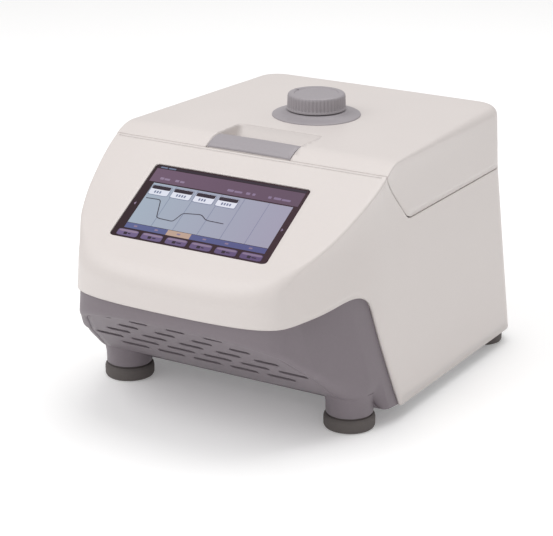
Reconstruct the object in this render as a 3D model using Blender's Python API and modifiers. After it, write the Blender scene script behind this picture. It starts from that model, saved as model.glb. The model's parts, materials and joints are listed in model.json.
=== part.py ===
"""Bench-top thermal cycler: a moulded housing with a sloped touch display, a grey foot cowl,
a heated 96-well block on thermoelectric modules, and a hinged lid with a height-adjusted hot plate.

Metres, +Z up, -Y is the front with the display, origin on the bench below the middle of the box.
"""
import math

import bmesh
import bpy
from mathutils import Matrix, Vector

# ---- envelope ---------------------------------------------------------------------------------
FRONT_Y = -0.1927            # foremost point of the front lip
REAR_Y = 0.1867              # rear wall
HALF_BASE = 0.148            # half width where the skirt ends
HALF_SEAM = 0.131            # half width at the lid seam
HALF_TOP = 0.1285            # half width just below the lid's rounded top edge
BASE_Z = 0.014               # lower edge of the skirt
LIP_Z = 0.114                # lower edge of the front lip
SEAM_Z = 0.169               # lid seam on the sides and rear
EDGE_Z = 0.217               # height where the lid's sides end and its rounding starts
CROWN_Z = 0.2272             # lid top at its middle
LID_NOSE_Z = 0.2188          # lower edge of the lid's rolled front
REAR_CORNER = 0.025
FRONT_TAPER = 0.133          # length over which the sides draw in towards the front
WALL = 0.003
GAP = 0.0004

# ---- sloped panel and display -------------------------------------------------------------------
PANEL_TILT = math.radians(30.7)
PANEL_Y, PANEL_Z = -0.1228, 0.1831
PANEL_TOP_Y = -0.0623        # where the panel meets the lid
PANEL_FOOT_Y = -0.1790       # where the panel turns down into the lip
SCREEN_W, SCREEN_H = 0.155, 0.086
SCREEN_CORNER = 0.0035

# ---- lid seam, arch and cowl --------------------------------------------------------------------
SEAM_FOOT_Y = -0.0133        # where the sloped part of the seam reaches the level part
ARCH_TOP = (-0.1125, 0.1265)
ARCH_TIP = (-0.0505, 0.014)
COWL_INSET = WALL + GAP
BELLY_TOP = (-0.192, 0.097)
BELLY_FOOT = (-0.104, 0.033)
BELLY_BACK = (-0.055, 0.022)

# ---- feet -----------------------------------------------------------------------------------------
FRONT_FOOT = (0.114, -0.082)
REAR_FOOT = (0.121, 0.157)
STEM_R = 0.0205
FOOT_R = 0.0222
FOOT_Z = 0.0125

# ---- sample block and its stack -------------------------------------------------------------------
BLOCK_Y = 0.057
BLOCK_W, BLOCK_D = 0.118, 0.082
BLOCK_TOP, BLOCK_BOTTOM = 0.1725, 0.1470
WELL_PITCH, WELL_R, WELL_DEPTH = 0.009, 0.0032, 0.0165
WELL_COLS, WELL_ROWS = 12, 8
PELTIER = (0.039, 0.0395, 0.0036)
SINK_W, SINK_D = 0.150, 0.110
SINK_BASE, FIN_H, FIN_T, FIN_PITCH = 0.010, 0.048, 0.0017, 0.0048

# ---- fans, rear fittings, hinge -------------------------------------------------------------------
FAN_SIZE, FAN_DEPTH, FAN_BORE = 0.080, 0.025, 0.0375
FAN_X, FAN_Y, FAN_Z = 0.043, 0.1688, 0.1125
ROTOR_SHIFT = 0.0035         # the blades' middle behind the fan frame's middle
BLADES = 7
PLATE_Y = REAR_Y - WALL - GAP - 0.0008
INLET_X, INLET_Z, INLET_W, INLET_H = -0.074, 0.053, 0.048, 0.038
SOCKET_X, SOCKET_Z = INLET_X - 0.0085, INLET_Z + 0.0065
DRAWER_Z = INLET_Z - 0.0115
ROCKER_X, ROCKER_Y, ROCKER_TILT = INLET_X + 0.0140, 0.1835, math.radians(-8.0)
USB_X, USB_Z = 0.080, 0.048
HINGE_X, HINGE_Y, HINGE_Z, HINGE_R = 0.070, REAR_Y + 0.0031, 0.1697, 0.0029
LEAF_L, LEAF_T, PIN_R, KNUCKLE_L = 0.048, 0.0016, 0.0012, 0.0152

# ---- knob, hot plate, latch -------------------------------------------------------------------------
KNOB_Y = BLOCK_Y
KNOB_R, SKIRT_R = 0.0262, 0.0402
KNOB_TOP, KNOB_FOOT, SKIRT_FOOT = 0.2475, 0.2330, 0.2275
SCREW_R = 0.006
PLATE_W, PLATE_D = 0.124, 0.088
PLATE_LOW, PLATE_T, INSULATION_T, CARRIER_T = 0.1865, 0.0050, 0.0040, 0.0030
ROD_X, ROD_R = 0.050, 0.0025
LATCH_W, LATCH_REAR_Y = 0.0815, -0.0440
LATCH_PIVOT = (-0.0550, 0.2192)
POCKET_W, POCKET_REAR_Y, POCKET_FLOOR = 0.0850, -0.0050, 0.2125

WHITE = ("white_plastic", (0.82, 0.79, 0.77), 0.42, 0.0)
GREY = ("grey_plastic", (0.24, 0.22, 0.235), 0.5, 0.0)
LIGHT_GREY = ("light_grey_plastic", (0.38, 0.36, 0.375), 0.45, 0.0)
RUBBER = ("foot_rubber", (0.11, 0.10, 0.095), 0.85, 0.0)
DARK = ("dark_plastic", (0.03, 0.03, 0.033), 0.5, 0.0)
GLASS = ("display_glass", (0.05, 0.035, 0.05), 0.12, 0.0)
ALUMINIUM = ("aluminium", (0.72, 0.73, 0.74), 0.35, 1.0)
STEEL = ("steel", (0.60, 0.60, 0.61), 0.3, 1.0)
CERAMIC = ("peltier_ceramic", (0.85, 0.84, 0.80), 0.6, 0.0)
BOARD = ("circuit_board", (0.03, 0.16, 0.09), 0.5, 0.0)
FOAM = ("silicone_seal", (0.62, 0.62, 0.60), 0.8, 0.0)

PARTS = None
CUTTERS = None


# ---- scene helpers -----------------------------------------------------------------------------------
def start_scene():
    """Empty the scene and make the two collections."""
    global PARTS, CUTTERS
    for obj in list(bpy.data.objects):
        bpy.data.objects.remove(obj, do_unlink=True)
    PARTS = bpy.data.collections.new("thermal_cycler")
    CUTTERS = bpy.data.collections.new("cutters")
    bpy.context.scene.collection.children.link(PARTS)
    bpy.context.scene.collection.children.link(CUTTERS)


def material(spec):
    """The Principled material for a (name, colour, roughness, metallic) entry."""
    name, colour, roughness, metallic = spec
    found = bpy.data.materials.get(name)
    if found:
        return found
    made = bpy.data.materials.new(name)
    made.use_nodes = True
    shader = made.node_tree.nodes["Principled BSDF"]
    shader.inputs["Base Color"].default_value = (*colour, 1.0)
    shader.inputs["Roughness"].default_value = roughness
    shader.inputs["Metallic"].default_value = metallic
    return made


def link(name, mesh, look, matrix=None):
    """A new named part holding the mesh, with its material."""
    obj = bpy.data.objects.new(name, mesh)
    PARTS.objects.link(obj)
    mesh.materials.clear()
    mesh.materials.append(material(look))
    if matrix is not None:
        obj.matrix_world = matrix
    return obj


def mesh_from(build):
    """A mesh filled by a function that is given an empty bmesh."""
    bm = bmesh.new()
    build(bm)
    bmesh.ops.recalc_face_normals(bm, faces=bm.faces)
    mesh = bpy.data.meshes.new("mesh")
    bm.to_mesh(mesh)
    bm.free()
    return mesh


def box_mesh(size):
    return mesh_from(lambda bm: bmesh.ops.create_cube(bm, size=1.0, matrix=Matrix.Diagonal((*size, 1.0))))


def box(name, size, at, look, tilt=0.0):
    """A box centred on a point and turned about X."""
    matrix = Matrix.Translation(at) @ Matrix.Rotation(tilt, 4, "X")
    return link(name, box_mesh(size), look, matrix)


def cone_mesh(r_low, r_high, height, sides):
    return mesh_from(lambda bm: bmesh.ops.create_cone(
        bm, cap_ends=True, segments=sides, radius1=r_low, radius2=r_high, depth=height))


AXIS_TURN = {"X": Matrix.Rotation(math.pi / 2, 4, "Y"), "Y": Matrix.Rotation(math.pi / 2, 4, "X"),
             "Z": Matrix.Identity(4)}


def cylinder(name, radius, height, at, look, axis="Z", sides=32):
    obj = link(name, cone_mesh(radius, radius, height, sides), look, Matrix.Translation(at) @ AXIS_TURN[axis])
    return smooth(obj)


def smooth(obj, angle=35.0):
    obj.data.shade_smooth()
    obj.data.set_sharp_from_angle(angle=math.radians(angle))
    return obj


def turned(name, profile, at, look, steps=40):
    """A solid of revolution about Z from (radius, height) points, down the outer side.

    A profile that ends where it began is a closed section, as for a ring.
    """
    def build(bm):
        closed = profile[0] == profile[-1]
        verts = [bm.verts.new((r, 0.0, z)) for r, z in (profile[:-1] if closed else profile)]
        for low, high in zip(verts, verts[1:] + (verts[:1] if closed else [])):
            bm.edges.new((low, high))
    mesh = bpy.data.meshes.new("profile")
    bm = bmesh.new()
    build(bm)
    bm.to_mesh(mesh)
    bm.free()
    obj = link(name, mesh, look, Matrix.Translation(at))
    screw = obj.modifiers.new("turn", "SCREW")
    screw.steps = screw.render_steps = steps
    screw.use_merge_vertices = True
    screw.merge_threshold = 0.00005
    screw.use_smooth_shade = True
    return obj


def outline_mesh(points, thickness, holes=()):
    """A closed flat outline in XY given half its thickness each way, as a welded mesh."""
    curve = bpy.data.curves.new("outline", "CURVE")
    curve.dimensions = "2D"
    curve.fill_mode = "BOTH"
    curve.extrude = thickness / 2
    for loop in (points, *holes):
        spline = curve.splines.new("POLY")
        spline.points.add(len(loop) - 1)
        for slot, (u, v) in zip(spline.points, loop):
            slot.co = (u, v, 0.0, 1.0)
        spline.use_cyclic_u = True
    obj = bpy.data.objects.new("outline", curve)
    PARTS.objects.link(obj)
    evaluated = obj.evaluated_get(bpy.context.evaluated_depsgraph_get())
    mesh = bpy.data.meshes.new_from_object(evaluated)
    bpy.data.objects.remove(obj, do_unlink=True)
    bpy.data.curves.remove(curve)
    bm = bmesh.new()
    bm.from_mesh(mesh)
    bmesh.ops.remove_doubles(bm, verts=bm.verts, dist=0.00002)
    bmesh.ops.dissolve_degenerate(bm, edges=bm.edges, dist=0.00001)
    bmesh.ops.recalc_face_normals(bm, faces=bm.faces)
    bm.to_mesh(mesh)
    bm.free()
    return mesh


SIDE_VIEW = Matrix(((0, 0, 1, 0), (1, 0, 0, 0), (0, 1, 0, 0), (0, 0, 0, 1)))
FRONT_VIEW = Matrix(((1, 0, 0, 0), (0, 0, -1, 0), (0, 1, 0, 0), (0, 0, 0, 1)))


def side_prism(name, points, width, look, x=0.0):
    """A (y, z) outline extruded across the width."""
    return link(name, outline_mesh(points, width), look, Matrix.Translation((x, 0, 0)) @ SIDE_VIEW)


def front_prism(name, points, depth, y, look, holes=()):
    """An (x, z) outline extruded along Y about a given y."""
    return link(name, outline_mesh(points, depth, holes), look, Matrix.Translation((0, y, 0)) @ FRONT_VIEW)


def plan_prism(name, points, height, z, look, holes=()):
    """An (x, y) outline extruded along Z about a given z."""
    return link(name, outline_mesh(points, height, holes), look, Matrix.Translation((0, 0, z)))


def loft(name, rings, look):
    """A closed solid through rings that all have the same number of points."""
    def build(bm):
        rows = [[bm.verts.new(p) for p in ring] for ring in rings]
        for low, high in zip(rows, rows[1:]):
            for i in range(len(low)):
                j = (i + 1) % len(low)
                bm.faces.new((low[i], low[j], high[j], high[i]))
        bm.faces.new(list(reversed(rows[0])))
        bm.faces.new(rows[-1])
    return link(name, mesh_from(build), look)


def boolean(target, tool, operation="DIFFERENCE"):
    """Cut, join or trim a part with a tool object, which becomes a hidden guide."""
    for collection in list(tool.users_collection):
        collection.objects.unlink(tool)
    CUTTERS.objects.link(tool)
    tool.hide_render = True
    tool.display_type = "WIRE"
    step = target.modifiers.new(operation.lower(), "BOOLEAN")
    step.operation = operation
    step.solver = "EXACT"
    step.object = tool
    return target


def bevel(obj, width, segments=2, angle=40.0):
    step = obj.modifiers.new("bevel", "BEVEL")
    step.width = width
    step.segments = segments
    step.limit_method = "ANGLE"
    step.angle_limit = math.radians(angle)
    step.use_clamp_overlap = True
    return obj


def mirrored_pair(make, name, x):
    """The same part made on the left and on the right."""
    return [make(name + "_left", -x), make(name + "_right", x)]


# ---- outlines ----------------------------------------------------------------------------------------
def bezier(p0, p1, p2, p3, count):
    """Points along a cubic curve, without its last point."""
    points = []
    for k in range(count):
        t = k / count
        s = 1.0 - t
        w = (s ** 3, 3 * s * s * t, 3 * s * t * t, t ** 3)
        points.append((w[0] * p0[0] + w[1] * p1[0] + w[2] * p2[0] + w[3] * p3[0],
                       w[0] * p0[1] + w[1] * p1[1] + w[2] * p2[1] + w[3] * p3[1]))
    return points


def arc(cx, cy, radius, start, end, count):
    """Points on a circle between two angles in degrees, ends included."""
    angles = [math.radians(start + (end - start) * k / count) for k in range(count + 1)]
    return [(cx + radius * math.cos(a), cy + radius * math.sin(a)) for a in angles]


def rounded_rect(width, height, radius, cx=0.0, cy=0.0, count=3):
    """A rectangle's outline with round corners."""
    hx, hy = width / 2 - radius, height / 2 - radius
    points = []
    for sx, sy, start in ((1, 1, 0), (-1, 1, 90), (-1, -1, 180), (1, -1, 270)):
        points += arc(cx + sx * hx, cy + sy * hy, radius, start, start + 90, count)
    return points


def half_width(z):
    """The housing's half width at a height: drawn in up to the seam, then almost upright."""
    if z < SEAM_Z:
        return HALF_BASE + (HALF_SEAM - HALF_BASE) * (z - BASE_Z) / (SEAM_Z - BASE_Z)
    return HALF_SEAM + (HALF_TOP - HALF_SEAM) * (z - SEAM_Z) / (EDGE_Z - SEAM_Z)


def body_ring(z, inset=0.0):
    """The housing's plan outline at a height: bulged front, drawn-in corners, straight sides."""
    half = half_width(z) - inset
    front = FRONT_Y + inset
    rear = REAR_Y - inset
    corner = REAR_CORNER - inset
    knee = (0.75, 0.16)
    right = bezier((0, 0), (0.45, 0.0), (0.68, 0.03), knee, 7)
    right += bezier(knee, (0.83, 0.33), (0.995, 0.55), (1, 1), 7)
    right = [(u * half, front + v * FRONT_TAPER) for u, v in right]
    right.append((half, front + FRONT_TAPER))
    right += arc(half - corner, rear - corner, corner, 0, 90, 5)
    left = [(-x, y) for x, y in reversed(right[1:])]
    return [(x, y, z) for x, y in right + left]


def panel_z(y, offset=0.0):
    """Height of the sloped panel, moved along its normal by the offset."""
    return PANEL_Z + (y - PANEL_Y) * math.tan(PANEL_TILT) + offset / math.cos(PANEL_TILT)


def seam_line(offset):
    """The lid seam in side view from the rear to the panel, moved towards the lid by the offset."""
    foot = Vector((SEAM_FOOT_Y, SEAM_Z))
    head = Vector((PANEL_TOP_Y, panel_z(PANEL_TOP_Y)))
    run = (head - foot).normalized()
    normal = Vector((-run.y, run.x)) if run.x > 0 else Vector((run.y, -run.x))
    level = SEAM_Z + offset
    start = foot + normal * offset
    bend = start + run * ((level - start.y) / run.y)
    top = start + run * ((head - foot).length + 0.004)
    radius = 0.005
    before = (bend.x + radius, level)
    after = bend + run * radius
    middle = ((before[0] + 2 * bend.x + after.x) / 4, (before[1] + 2 * bend.y + after.y) / 4)
    return [(0.22, level), before, middle, (after.x, after.y), (top.x, top.y)]


def housing_profile(inset):
    """Side view of the housing below the seam, with the sloped panel and rounded lip."""
    seam = seam_line(-GAP - inset)
    front = FRONT_Y + inset
    foot_z = panel_z(PANEL_FOOT_Y, -inset)
    last = seam[-1]
    # the seam's sloped line is trimmed where it meets the panel
    run = (last[0] - seam[-2][0], last[1] - seam[-2][1])
    slope = math.tan(PANEL_TILT)
    base = panel_z(0.0, -inset)
    t = (base + slope * seam[-2][0] - seam[-2][1]) / (run[1] - slope * run[0])
    seam[-1] = (seam[-2][0] + t * run[0], seam[-2][1] + t * run[1])
    lip = [(PANEL_FOOT_Y, foot_z), (front + 0.0065, foot_z - 0.0085), (front + 0.0015, foot_z - 0.016),
           (front - 0.0005, foot_z - 0.026)]
    return seam, lip


# ---- housing -------------------------------------------------------------------------------------------
def screen_cutter(name, width, height, depth, sink, radius):
    """A rounded bar square to the sloped panel, its middle sunk below the surface."""
    return link(name, outline_mesh(rounded_rect(width, height, radius), depth), DARK, panel_matrix(sink))


def make_housing():
    body = loft("main_housing", [body_ring(z) for z in (0.008, 0.060, LIP_Z, SEAM_Z, 0.235)], WHITE)
    seam, lip = housing_profile(0.0)
    outer = seam + lip + [(-0.24, LIP_Z + 0.02), (-0.24, LIP_Z)]
    outer += [(-0.166, LIP_Z), (-0.150, LIP_Z + 0.0022), (-0.124, ARCH_TOP[1] - 0.0022),
              (ARCH_TOP[0] - 0.002, ARCH_TOP[1]), (ARCH_TOP[0] + 0.005, ARCH_TOP[1] - 0.003),
              (ARCH_TOP[0] + 0.0095, ARCH_TOP[1] - 0.012), ARCH_TIP, (0.22, BASE_Z)]
    boolean(body, side_prism("housing_profile", outer, 0.40, DARK), "INTERSECT")
    cavity = loft("housing_cavity", [body_ring(z, WALL) for z in (0.000, 0.060, LIP_Z, SEAM_Z, 0.235)], DARK)
    seam, lip = housing_profile(WALL)
    inner = seam + lip + [(-0.24, 0.12), (-0.24, 0.001), (0.22, 0.001)]
    boolean(cavity, side_prism("cavity_profile", inner, 0.40, DARK), "INTERSECT")
    boolean(body, cavity)
    boolean(body, screen_cutter("screen_window", SCREEN_W, SCREEN_H, 0.020, 0.0, SCREEN_CORNER))
    boolean(body, box("block_window", (BLOCK_W + 0.014, BLOCK_D + 0.014, 0.03), (0, BLOCK_Y, SEAM_Z), DARK))
    boolean(body, box("rear_window", (0.208, 0.02, 0.124), (0, REAR_Y, 0.092), DARK))
    boolean(body, box("catch_window", (0.030, 0.014, 0.031), (0, -0.0440, 0.1965), DARK))
    boolean(body, box("latch_relief", (POCKET_W, 0.0118, 0.0120), (0, -0.0549, 0.2125), DARK))
    return smooth(body, 30)


def make_cowl():
    zs = (0.008, 0.060, LIP_Z, 0.136)
    cowl = loft("front_base_cowl", [body_ring(z, COWL_INSET) for z in zs], GREY)
    outer = [(-0.140, 0.133), (-0.172, 0.1195), (-0.22, 0.1195), (-0.22, BELLY_TOP[1] + 0.004),
             (-0.1895, BELLY_TOP[1] + 0.004), (-0.186, BELLY_TOP[1] - 0.002), BELLY_FOOT,
             (-0.095, 0.0275), BELLY_BACK,
             (ARCH_TIP[0] + 0.010, 0.0200), (ARCH_TIP[0] + 0.0140, 0.0200), (ARCH_TOP[0] + 0.030, 0.133)]
    boolean(cowl, side_prism("cowl_profile", outer, 0.40, DARK), "INTERSECT")
    for side in (-1, 1):
        stem = turned(f"stem_{side}", [(0.0, 0.060), (0.0250, 0.060), (0.0240, 0.046), (STEM_R + 0.0012, 0.036),
                                       (STEM_R, 0.028), (STEM_R, FOOT_Z + GAP), (0.0, FOOT_Z + GAP)],
                      (side * FRONT_FOOT[0], FRONT_FOOT[1], 0), GREY, 28)
        boolean(cowl, stem, "UNION")
    inner = loft("cowl_cavity", [body_ring(z, COWL_INSET + WALL) for z in (0.006, 0.060, LIP_Z, 0.140)], DARK)
    top = BELLY_TOP[1] + 0.004
    belly = [(-0.22, 0.150), (-0.22, top + WALL), (-0.186, top + WALL), (-0.182, BELLY_TOP[1] + 0.0015),
             (BELLY_FOOT[0] + 0.0015, BELLY_FOOT[1] + 0.0038), (-0.094, 0.0308),
             (BELLY_BACK[0], BELLY_BACK[1] + WALL), (0.02, 0.0225), (0.02, 0.150)]
    boolean(inner, side_prism("cowl_cavity_profile", belly, 0.40, DARK), "INTERSECT")
    boolean(cowl, inner)
    vent_rows(cowl)
    return smooth(cowl, 30)


def vent_rows(cowl):
    """Staggered rows of long air slots across the sloped belly."""
    slope = math.atan2(BELLY_TOP[1] - BELLY_FOOT[1], BELLY_TOP[0] - BELLY_FOOT[0])
    run = Vector((BELLY_FOOT[0] - BELLY_TOP[0], BELLY_FOOT[1] - BELLY_TOP[1]))
    tilt = math.atan2(run.y, run.x)
    rows, length, height, pitch = 5, 0.034, 0.0026, 0.043
    for row in range(rows):
        share = 0.17 + 0.155 * row
        y = BELLY_TOP[0] + run.x * share
        z = BELLY_TOP[1] + run.y * share
        shift = pitch / 2 if row % 2 else 0.0
        count = 4
        for k in range(-count // 2, count // 2 + 1):
            x = k * pitch + shift
            if abs(x) > 0.078 or (row % 2 and k == count // 2):
                continue
            boolean(cowl, box(f"vent_{row}_{k}", (length, height, 0.012), (x, y, z), DARK, tilt))


def make_bottom_plate():
    ring = [(x, y) for x, y, z in body_ring(0.016, WALL + 0.001)]
    plate = plan_prism("bottom_plate", ring, 0.0015, 0.0175, STEEL)
    boolean(plate, box("plate_front", (0.4, 0.3, 0.02), (0, -0.034 - 0.15, 0.0175), DARK))
    for k in range(-3, 4):
        boolean(plate, box(f"intake_{k}", (0.0032, 0.052, 0.01), (k * 0.012, BLOCK_Y, 0.0175), DARK))
    return plate


def make_foot_pad(name, x):
    profile = [(0.0, FOOT_Z), (FOOT_R, FOOT_Z), (FOOT_R, 0.0055), (0.0205, 0.0020), (0.0175, 0.0), (0.0, 0.0)]
    return turned(name, profile, (x, FRONT_FOOT[1], 0), RUBBER, 28)


def make_rear_foot(name, x):
    top = 0.0175 - 0.00075 - GAP
    profile = [(0.0, top), (0.0195, top), (FOOT_R, top - 0.0025), (FOOT_R, 0.0055), (0.0205, 0.0020),
               (0.0175, 0.0), (0.0, 0.0)]
    return turned(name, profile, (x, REAR_FOOT[1], 0), RUBBER, 28)


# ---- display -------------------------------------------------------------------------------------------
def panel_matrix(sink):
    return (Matrix.Translation((0, PANEL_Y, PANEL_Z)) @ Matrix.Rotation(PANEL_TILT, 4, "X")
            @ Matrix.Translation((0, 0, -sink)))


def make_display():
    glass = outline_mesh(rounded_rect(SCREEN_W - 0.0008, SCREEN_H - 0.0008, SCREEN_CORNER), 0.0018)
    link("display_glass", glass, GLASS, panel_matrix(0.0018))
    frame_w, frame_h = SCREEN_W + 0.010, SCREEN_H + 0.010
    hole = rounded_rect(SCREEN_W - 0.006, SCREEN_H - 0.006, 0.002, count=1)
    ring = outline_mesh(rounded_rect(frame_w, frame_h, 0.004, count=2), 0.0030, (hole,))
    link("display_bezel", ring, DARK, panel_matrix(0.0053))
    link("display_module", box_mesh((SCREEN_W + 0.006, SCREEN_H + 0.006, 0.0060)), STEEL, panel_matrix(0.0103))
    link("control_board", box_mesh((0.150, 0.080, 0.0016)), BOARD, panel_matrix(0.0200))
    standoffs()


def standoffs():
    """Four spacers between the display module and its board."""
    for k, (sx, sy) in enumerate(((-1, -1), (1, -1), (-1, 1), (1, 1))):
        post = cone_mesh(0.0028, 0.0028, 0.0052, 10)
        matrix = panel_matrix(0.01625) @ Matrix.Translation((sx * 0.069, sy * 0.034, 0))
        link(f"board_spacer_{k + 1}", post, STEEL, matrix)


# ---- block stack ---------------------------------------------------------------------------------------
def make_block():
    height = BLOCK_TOP - BLOCK_BOTTOM
    block = box("sample_block", (BLOCK_W, BLOCK_D, height), (0, BLOCK_Y, BLOCK_TOP - height / 2), ALUMINIUM)

    def wells(bm):
        for i in range(WELL_COLS):
            for j in range(WELL_ROWS):
                at = ((i - (WELL_COLS - 1) / 2) * WELL_PITCH, (j - (WELL_ROWS - 1) / 2) * WELL_PITCH, 0)
                bmesh.ops.create_cone(bm, cap_ends=True, segments=8, radius1=0.0013, radius2=WELL_R,
                                      depth=WELL_DEPTH + 0.001, matrix=Matrix.Translation(at))
    cutter = link("well_array", mesh_from(wells), DARK,
                  Matrix.Translation((0, BLOCK_Y, BLOCK_TOP + 0.001 - (WELL_DEPTH + 0.001) / 2)))
    boolean(block, cutter)
    hole = rounded_rect(BLOCK_W + 0.0006, BLOCK_D + 0.0006, 0.0002, 0, BLOCK_Y, 1)
    seal = rounded_rect(BLOCK_W + 0.0132, BLOCK_D + 0.0132, 0.0002, 0, BLOCK_Y, 1)
    plan_prism("block_seal", seal, 0.0040, SEAM_Z - 0.0022, FOAM, (hole,))
    return block


def make_stack():
    top = BLOCK_BOTTOM - 0.0002
    for i in range(3):
        for j in range(2):
            at = ((i - 1) * (PELTIER[0] + 0.0004), BLOCK_Y + (j - 0.5) * (PELTIER[1] + 0.0006),
                  top - PELTIER[2] / 2)
            box(f"peltier_{i * 2 + j + 1}", PELTIER, at, CERAMIC)
    sink_top = top - PELTIER[2] - 0.0002
    comb = [(-SINK_W / 2, sink_top), (-SINK_W / 2, sink_top - SINK_BASE - FIN_H)]
    fins = int(SINK_W / FIN_PITCH)
    low, root = sink_top - SINK_BASE - FIN_H, sink_top - SINK_BASE
    for k in range(fins):
        x = -SINK_W / 2 + k * FIN_PITCH
        comb += [(x + FIN_T, low), (x + FIN_T, root), (x + FIN_PITCH, root), (x + FIN_PITCH, low)]
    last = -SINK_W / 2 + fins * FIN_PITCH
    comb += [(last + FIN_T, low), (last + FIN_T, sink_top)]
    front_prism("heatsink", comb, SINK_D, BLOCK_Y, ALUMINIUM)


# ---- fans ----------------------------------------------------------------------------------------------
def make_fan(side, x):
    frame = front_prism(f"fan_frame_{side}", rounded_rect(FAN_SIZE, FAN_SIZE, 0.005, x, FAN_Z, 2),
                        FAN_DEPTH, FAN_Y, DARK, (arc(x, FAN_Z, FAN_BORE, 0, 348.75, 31),))
    hub = cone_mesh(0.0030, 0.0030, 0.0060, 12)
    post_at = Matrix.Translation((x, FAN_Y - 0.0085, FAN_Z))
    spider = link(f"fan_post_{side}", hub, DARK, post_at @ AXIS_TURN["Y"])
    boolean(frame, spider, "UNION")
    for k in range(3):
        turn = Matrix.Rotation(math.radians(90 + 120 * k), 4, "Y")
        at = Matrix.Translation((x, FAN_Y - 0.0105, FAN_Z))
        strut = link(f"fan_strut_{side}_{k}", box_mesh((FAN_BORE + 0.001, 0.0018, 0.0034)), DARK,
                     at @ turn @ Matrix.Translation(((FAN_BORE + 0.001) / 2, 0, 0)))
        boolean(frame, strut, "UNION")
    rotor = link(f"fan_rotor_{side}", cone_mesh(0.0165, 0.0165, 0.0160, 24), DARK,
                 Matrix.Translation((x, FAN_Y + ROTOR_SHIFT, FAN_Z)) @ AXIS_TURN["Y"])
    for k in range(BLADES):
        blade = mesh_from(lambda bm: bmesh.ops.create_cube(
            bm, size=1.0, matrix=Matrix.Rotation(math.radians(32), 4, "X")
            @ Matrix.Diagonal((0.0200, 0.0145, 0.0014, 1.0))))
        matrix = (Matrix.Translation((x, FAN_Y + ROTOR_SHIFT, FAN_Z))
                  @ Matrix.Rotation(2 * math.pi * k / BLADES, 4, "Y")
                  @ Matrix.Translation((0.0260, 0, 0)))
        boolean(rotor, link(f"blade_{side}_{k}", blade, DARK, matrix), "UNION")
    return rotor


# ---- rear ----------------------------------------------------------------------------------------------
def make_rear_panel():
    """A sheet behind the rear window with fan grilles and openings for the rear fittings."""
    panel = box("rear_panel", (0.218, 0.0016, 0.134), (0, PLATE_Y, 0.092), WHITE)
    for side in (-1, 1):
        for row in range(-4, 5):
            z = FAN_Z + row * 0.0076
            half = math.sqrt(FAN_BORE ** 2 - (z - FAN_Z) ** 2) - 0.002
            slot = box(f"grille_{side}_{row}", (2 * half, 0.01, 0.0036), (side * FAN_X, PLATE_Y, z), DARK)
            boolean(panel, slot)
    inlet_hole = (INLET_W + 0.0008, 0.02, INLET_H + 0.0008)
    boolean(panel, box("inlet_hole", inlet_hole, (INLET_X, PLATE_Y, INLET_Z), DARK))
    boolean(panel, box("usb_hole", (0.0152, 0.02, 0.0078), (USB_X, PLATE_Y, USB_Z), DARK))
    return panel


def make_mains_inlet():
    """A power entry module: socket with three blades, a fuse drawer bay and a rocker bay."""
    depth = 0.024
    face = PLATE_Y + 0.0031
    body = box("mains_inlet", (INLET_W, depth, INLET_H), (INLET_X, face - 0.0020 - depth / 2, INLET_Z), DARK)
    flange_size = (INLET_W + 0.010, 0.0021, INLET_H + 0.006)
    flange = box("inlet_flange", flange_size, (INLET_X, face - 0.00105, INLET_Z), DARK)
    boolean(body, flange, "UNION")
    boolean(body, box("socket_bay", (0.0246, 0.034, 0.0164), (SOCKET_X, face, SOCKET_Z), DARK))
    for k, (dx, dz) in enumerate(((-0.007, -0.0026), (0.007, -0.0026), (0.0, 0.0014))):
        blade_at = (SOCKET_X + dx, face - 0.0110, SOCKET_Z + dz)
        blade = box(f"blade_{k}", (0.0020, 0.0160, 0.0040), blade_at, STEEL)
        boolean(body, blade, "UNION")
    boolean(body, box("drawer_bay", (0.0240, 0.036, 0.0092), (SOCKET_X, face, DRAWER_Z), DARK))
    boolean(body, box("rocker_bay", (0.0124, 0.026, 0.0272), (ROCKER_X, face, INLET_Z), DARK))
    return body


def make_fuse_drawer():
    """A drawer for two fuses with a pull lip, sliding out rearwards."""
    face = PLATE_Y + 0.0031
    drawer = box("fuse_drawer", (0.0234, 0.0170, 0.0086), (SOCKET_X, face - 0.0080, DRAWER_Z), DARK)
    for side in (-1, 1):
        trough = box(f"fuse_trough_{side}", (0.0090, 0.0130, 0.0070),
                     (SOCKET_X + side * 0.0055, face - 0.0090, DRAWER_Z + 0.0028), DARK)
        boolean(drawer, trough)
    lip = box("drawer_lip", (0.0100, 0.0022, 0.0020), (SOCKET_X, face + 0.0012, DRAWER_Z - 0.0020), DARK)
    return boolean(drawer, lip, "UNION")


def make_rocker():
    """A rocker with a shallow V face that tips about its middle."""
    half = 0.0123
    points = [(-0.0060, -0.0075), (-0.0060, 0.0075), (0.0010, 0.0117), (0.0036, half), (0.0016, 0.0006),
              (0.0016, -0.0006), (0.0036, -half), (0.0010, -0.0117)]
    matrix = (Matrix.Translation((ROCKER_X, ROCKER_Y, INLET_Z)) @ Matrix.Rotation(ROCKER_TILT, 4, "X")
              @ SIDE_VIEW)
    return link("power_rocker", outline_mesh(points, 0.0112), DARK, matrix)


def make_usb_port():
    port = box("usb_port", (0.0144, 0.0140, 0.0070), (USB_X, PLATE_Y + 0.0010 - 0.0070, USB_Z), STEEL)
    boolean(port, box("usb_bay", (0.0124, 0.0240, 0.0050), (USB_X, PLATE_Y + 0.0010, USB_Z), DARK))
    tongue_at = (USB_X, PLATE_Y - 0.0060, USB_Z + 0.0011)
    tongue = box("usb_tongue", (0.0112, 0.0105, 0.0018), tongue_at, DARK)
    return boolean(port, tongue, "UNION")


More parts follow.
